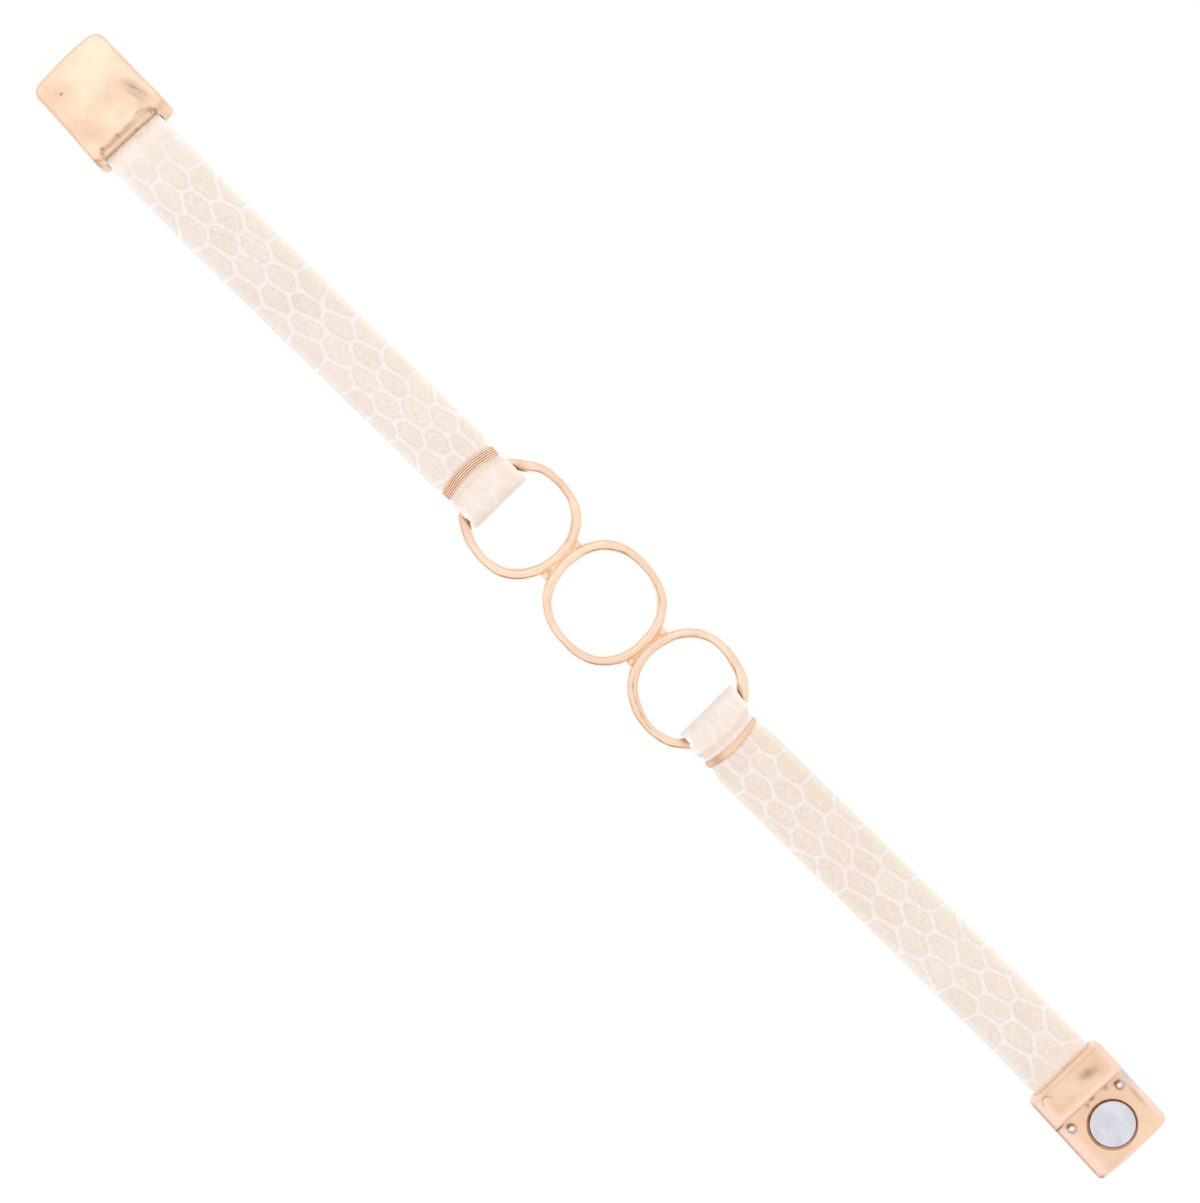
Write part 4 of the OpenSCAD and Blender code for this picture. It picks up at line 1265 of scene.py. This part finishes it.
# painted light: the places in shade get a lighter dye
dye = hide.mix(hide.mask("shaded"), (0.862, 0.867, 0.877), (0.93, 0.92, 0.90))
dye = hide.mix(hide.mask("edge_fade"), dye, (0.92, 0.965, 1.01))
colour = hide.mix(1.0, colour, dye, "MULTIPLY")
warm = hide.mix(1.0, colour, (0.985, 0.965, 0.942), "MULTIPLY")
colour = hide.mix(hide.mask("warmer"), colour, warm)
grain = hide.sum(hide.times(hide.noise(0.16, 3, 0.6), 0.5), hide.times(hide.noise(0.5, 3), 0.6))
hide.relief(grain, 0.045, 0.6)
hide.set(Base_Color=colour, Roughness=hide.band(hide.noise(0.35, 3), 0.3, 0.7, 0.42, 0.6),
         Specular_IOR_Level=0.42)
hide.dress(strap_left, strap_right)

# %% [markdown]
# ## Wire bindings
# Behind each ring a thin copper-gold wire is wound round the strap. The turns are one long
# helix, so a round wire is swept along it; it bows toward the clasp in the middle. On the left
# its five turns can be counted.

# %% Path of one turn
BIND_D, BIND_PITCH, BIND_GAP = 0.28, 0.30, 0.04


def turn_path(s, spare):
    """A smooth closed loop round the bound strap: y from its middle and height, once round."""
    along = np.array(s["bind"])
    hw = float(half_width(s, along))
    off = BIND_GAP + spare
    mid, half = pair_lie(s, along, 1.0)

    def bend(side, level, degrees):
        return [(side * hw + off * math.cos(a), level + off * math.sin(a))
                for a in np.radians(degrees)]

    loop = [(c * hw, mid - half - off) for c in np.linspace(-1, 1, 15)]
    loop += bend(1, mid - half, [-60, -30, 0]) + bend(1, mid + half, [0, 30, 60, 90])
    loop += [(c * hw, sum(pair_lie(s, along, c)) + off) for c in np.linspace(0.95, -0.95, 23)]
    loop += bend(-1, mid + half, [90, 120, 150, 180]) + bend(-1, mid - half, [180, 210, 240])
    return np.array(loop), hw


def place_turn(s, along, y, z, hw):
    x = s["fold"] + s["way"] * (along - BOW * np.minimum(np.abs(y) / hw, 1.04) ** 2)
    return np.column_stack([x, centre_line(s, s["fold"] + s["way"] * along) + y, z])


# %% Sweeping a round wire
def sweep_wire(path, r, sides):
    """A round wire along a path that stays nearly at right angles to X."""
    ahead = np.vstack([path[1:], path[-1:]]) - np.vstack([path[:1], path[:-1]])
    ahead /= np.linalg.norm(ahead, axis=1)[:, None]
    e = np.array([1.0, 0, 0]) - ahead[:, :1] * ahead
    e /= np.linalg.norm(e, axis=1)[:, None]
    g = np.cross(ahead, e)
    angles = (np.arange(sides) * 2 * math.pi / sides)[:, None]
    skin = path[:, None] + r * (np.cos(angles) * e[:, None] + np.sin(angles) * g[:, None])
    grid = np.arange(len(path) * sides).reshape(-1, sides)
    quads = quads_between(grid[:-1], grid[1:])[:, [0, 3, 2, 1]].tolist()
    return skin.reshape(-1, 3), quads + [list(grid[0][::-1]), list(grid[-1])]


turns, wire_sides = 5, 12
loop, hw = turn_path(left_strap, BIND_D / 2)
count = len(loop)
steps = np.arange(count * turns + 1)
from_middle = BIND_PITCH * (steps / count - turns / 2) + 0.006 * np.sin(steps * 2 * math.pi / 41)
side_y, height = loop[steps % count].T
closer = 0.12 * up(side_y, -1.5, -3)
along = left_strap["bind"] + from_middle * (1 - closer - 0.05 * up(side_y, 2, 2.5))
helix = place_turn(left_strap, along, side_y, height, hw)
points, faces = sweep_wire(helix, BIND_D / 2, wire_sides)
round_wire = np.abs(np.cos(np.arange(wire_sides) * math.pi / 6))
# painted shade: brown in the crevices between the turns, darker toward the -Y end
in_crevice = np.tile(up(round_wire, 0.3, 0.4), len(helix))
near_end = 0.75 + 0.25 * up(points[:, 1], -2.0, -2.5)
binding_left = put_on_table("binding_left_wire", points, faces, ["binding_left"],
                            {"crevice_shade": in_crevice * near_end})

# %% [markdown]
# On the right the turns were pressed flat and have run together. Their section is one band with
# four shallow ribs, carried once round the strap and closed on itself.

# %% The smooth band
band_turns = 4
band_half = band_turns * BIND_PITCH / 2 * 0.86
band_h = 0.27
rib = np.linspace(-1, 1, 41)
rib_turn = rib * band_turns * math.pi / 2
band_out = band_h * (0.74 + 0.10 * np.abs(np.cos(rib_turn)) ** 0.6)
band_out = band_out * np.sqrt(np.clip(1 - (np.abs(rib) ** 8), 0.05, 1))
under = rib[::-8]
loop, hw = turn_path(right_strap, 0.0)
nearby = np.roll(loop, -1, 0) - np.roll(loop, 1, 0)
outward = np.column_stack([nearby[:, 1], -nearby[:, 0]]) / np.hypot(*nearby.T)[:, None]
rows = []
for (y, z), (oy, oz) in zip(loop, outward):
    half_now = band_half * (0.88 - 0.17 * y / hw - 0.12 * (y / hw) ** 2)
    top_row = place_turn(right_strap, right_strap["bind"] + rib * half_now,
                         y + oy * band_out, z + oz * band_out, hw)
    low_row = place_turn(right_strap, right_strap["bind"] + under * half_now * 0.97,
                         np.full(len(under), y), np.full(len(under), z), hw)
    rows.append(np.vstack([top_row, low_row]))
rows = np.array(rows)
grid = np.arange(rows.shape[0] * rows.shape[1]).reshape(rows.shape[:2])
quads = quads_between(grid, np.roll(grid, -1, 0))
# painted shade: brown in the grooves between the ribs near the band's lower end
ribbed = 0.15 + 0.85 * np.abs(np.sin(rib_turn)) ** 3
low_end = near(rows[:, :, 1], -3.8, 0.95) * np.r_[ribbed, np.zeros(len(under))]
binding_right = put_on_table("binding_right_band", rows.reshape(-1, 3), quads,
                             ["binding_right"], {"crevice_shade": low_end.ravel()})

# %% Copper-gold wire finish
# painted shade: the last row of each finish browns the crevices between turns
rose_gold("rose_gold_turns", linear(255, 234, 208), linear(254, 220, 190), 0.2, [
    ("crevice_shade", linear(198, 138, 102), 1.0, 0.1, 0.6)]).dress(binding_left)
rose_gold("rose_gold_band", linear(241, 207, 180), linear(234, 195, 165), 0.22, [
    ("crevice_shade", crevice_shade_brown, 1.0, 0.1, 0.6)]).dress(binding_right)
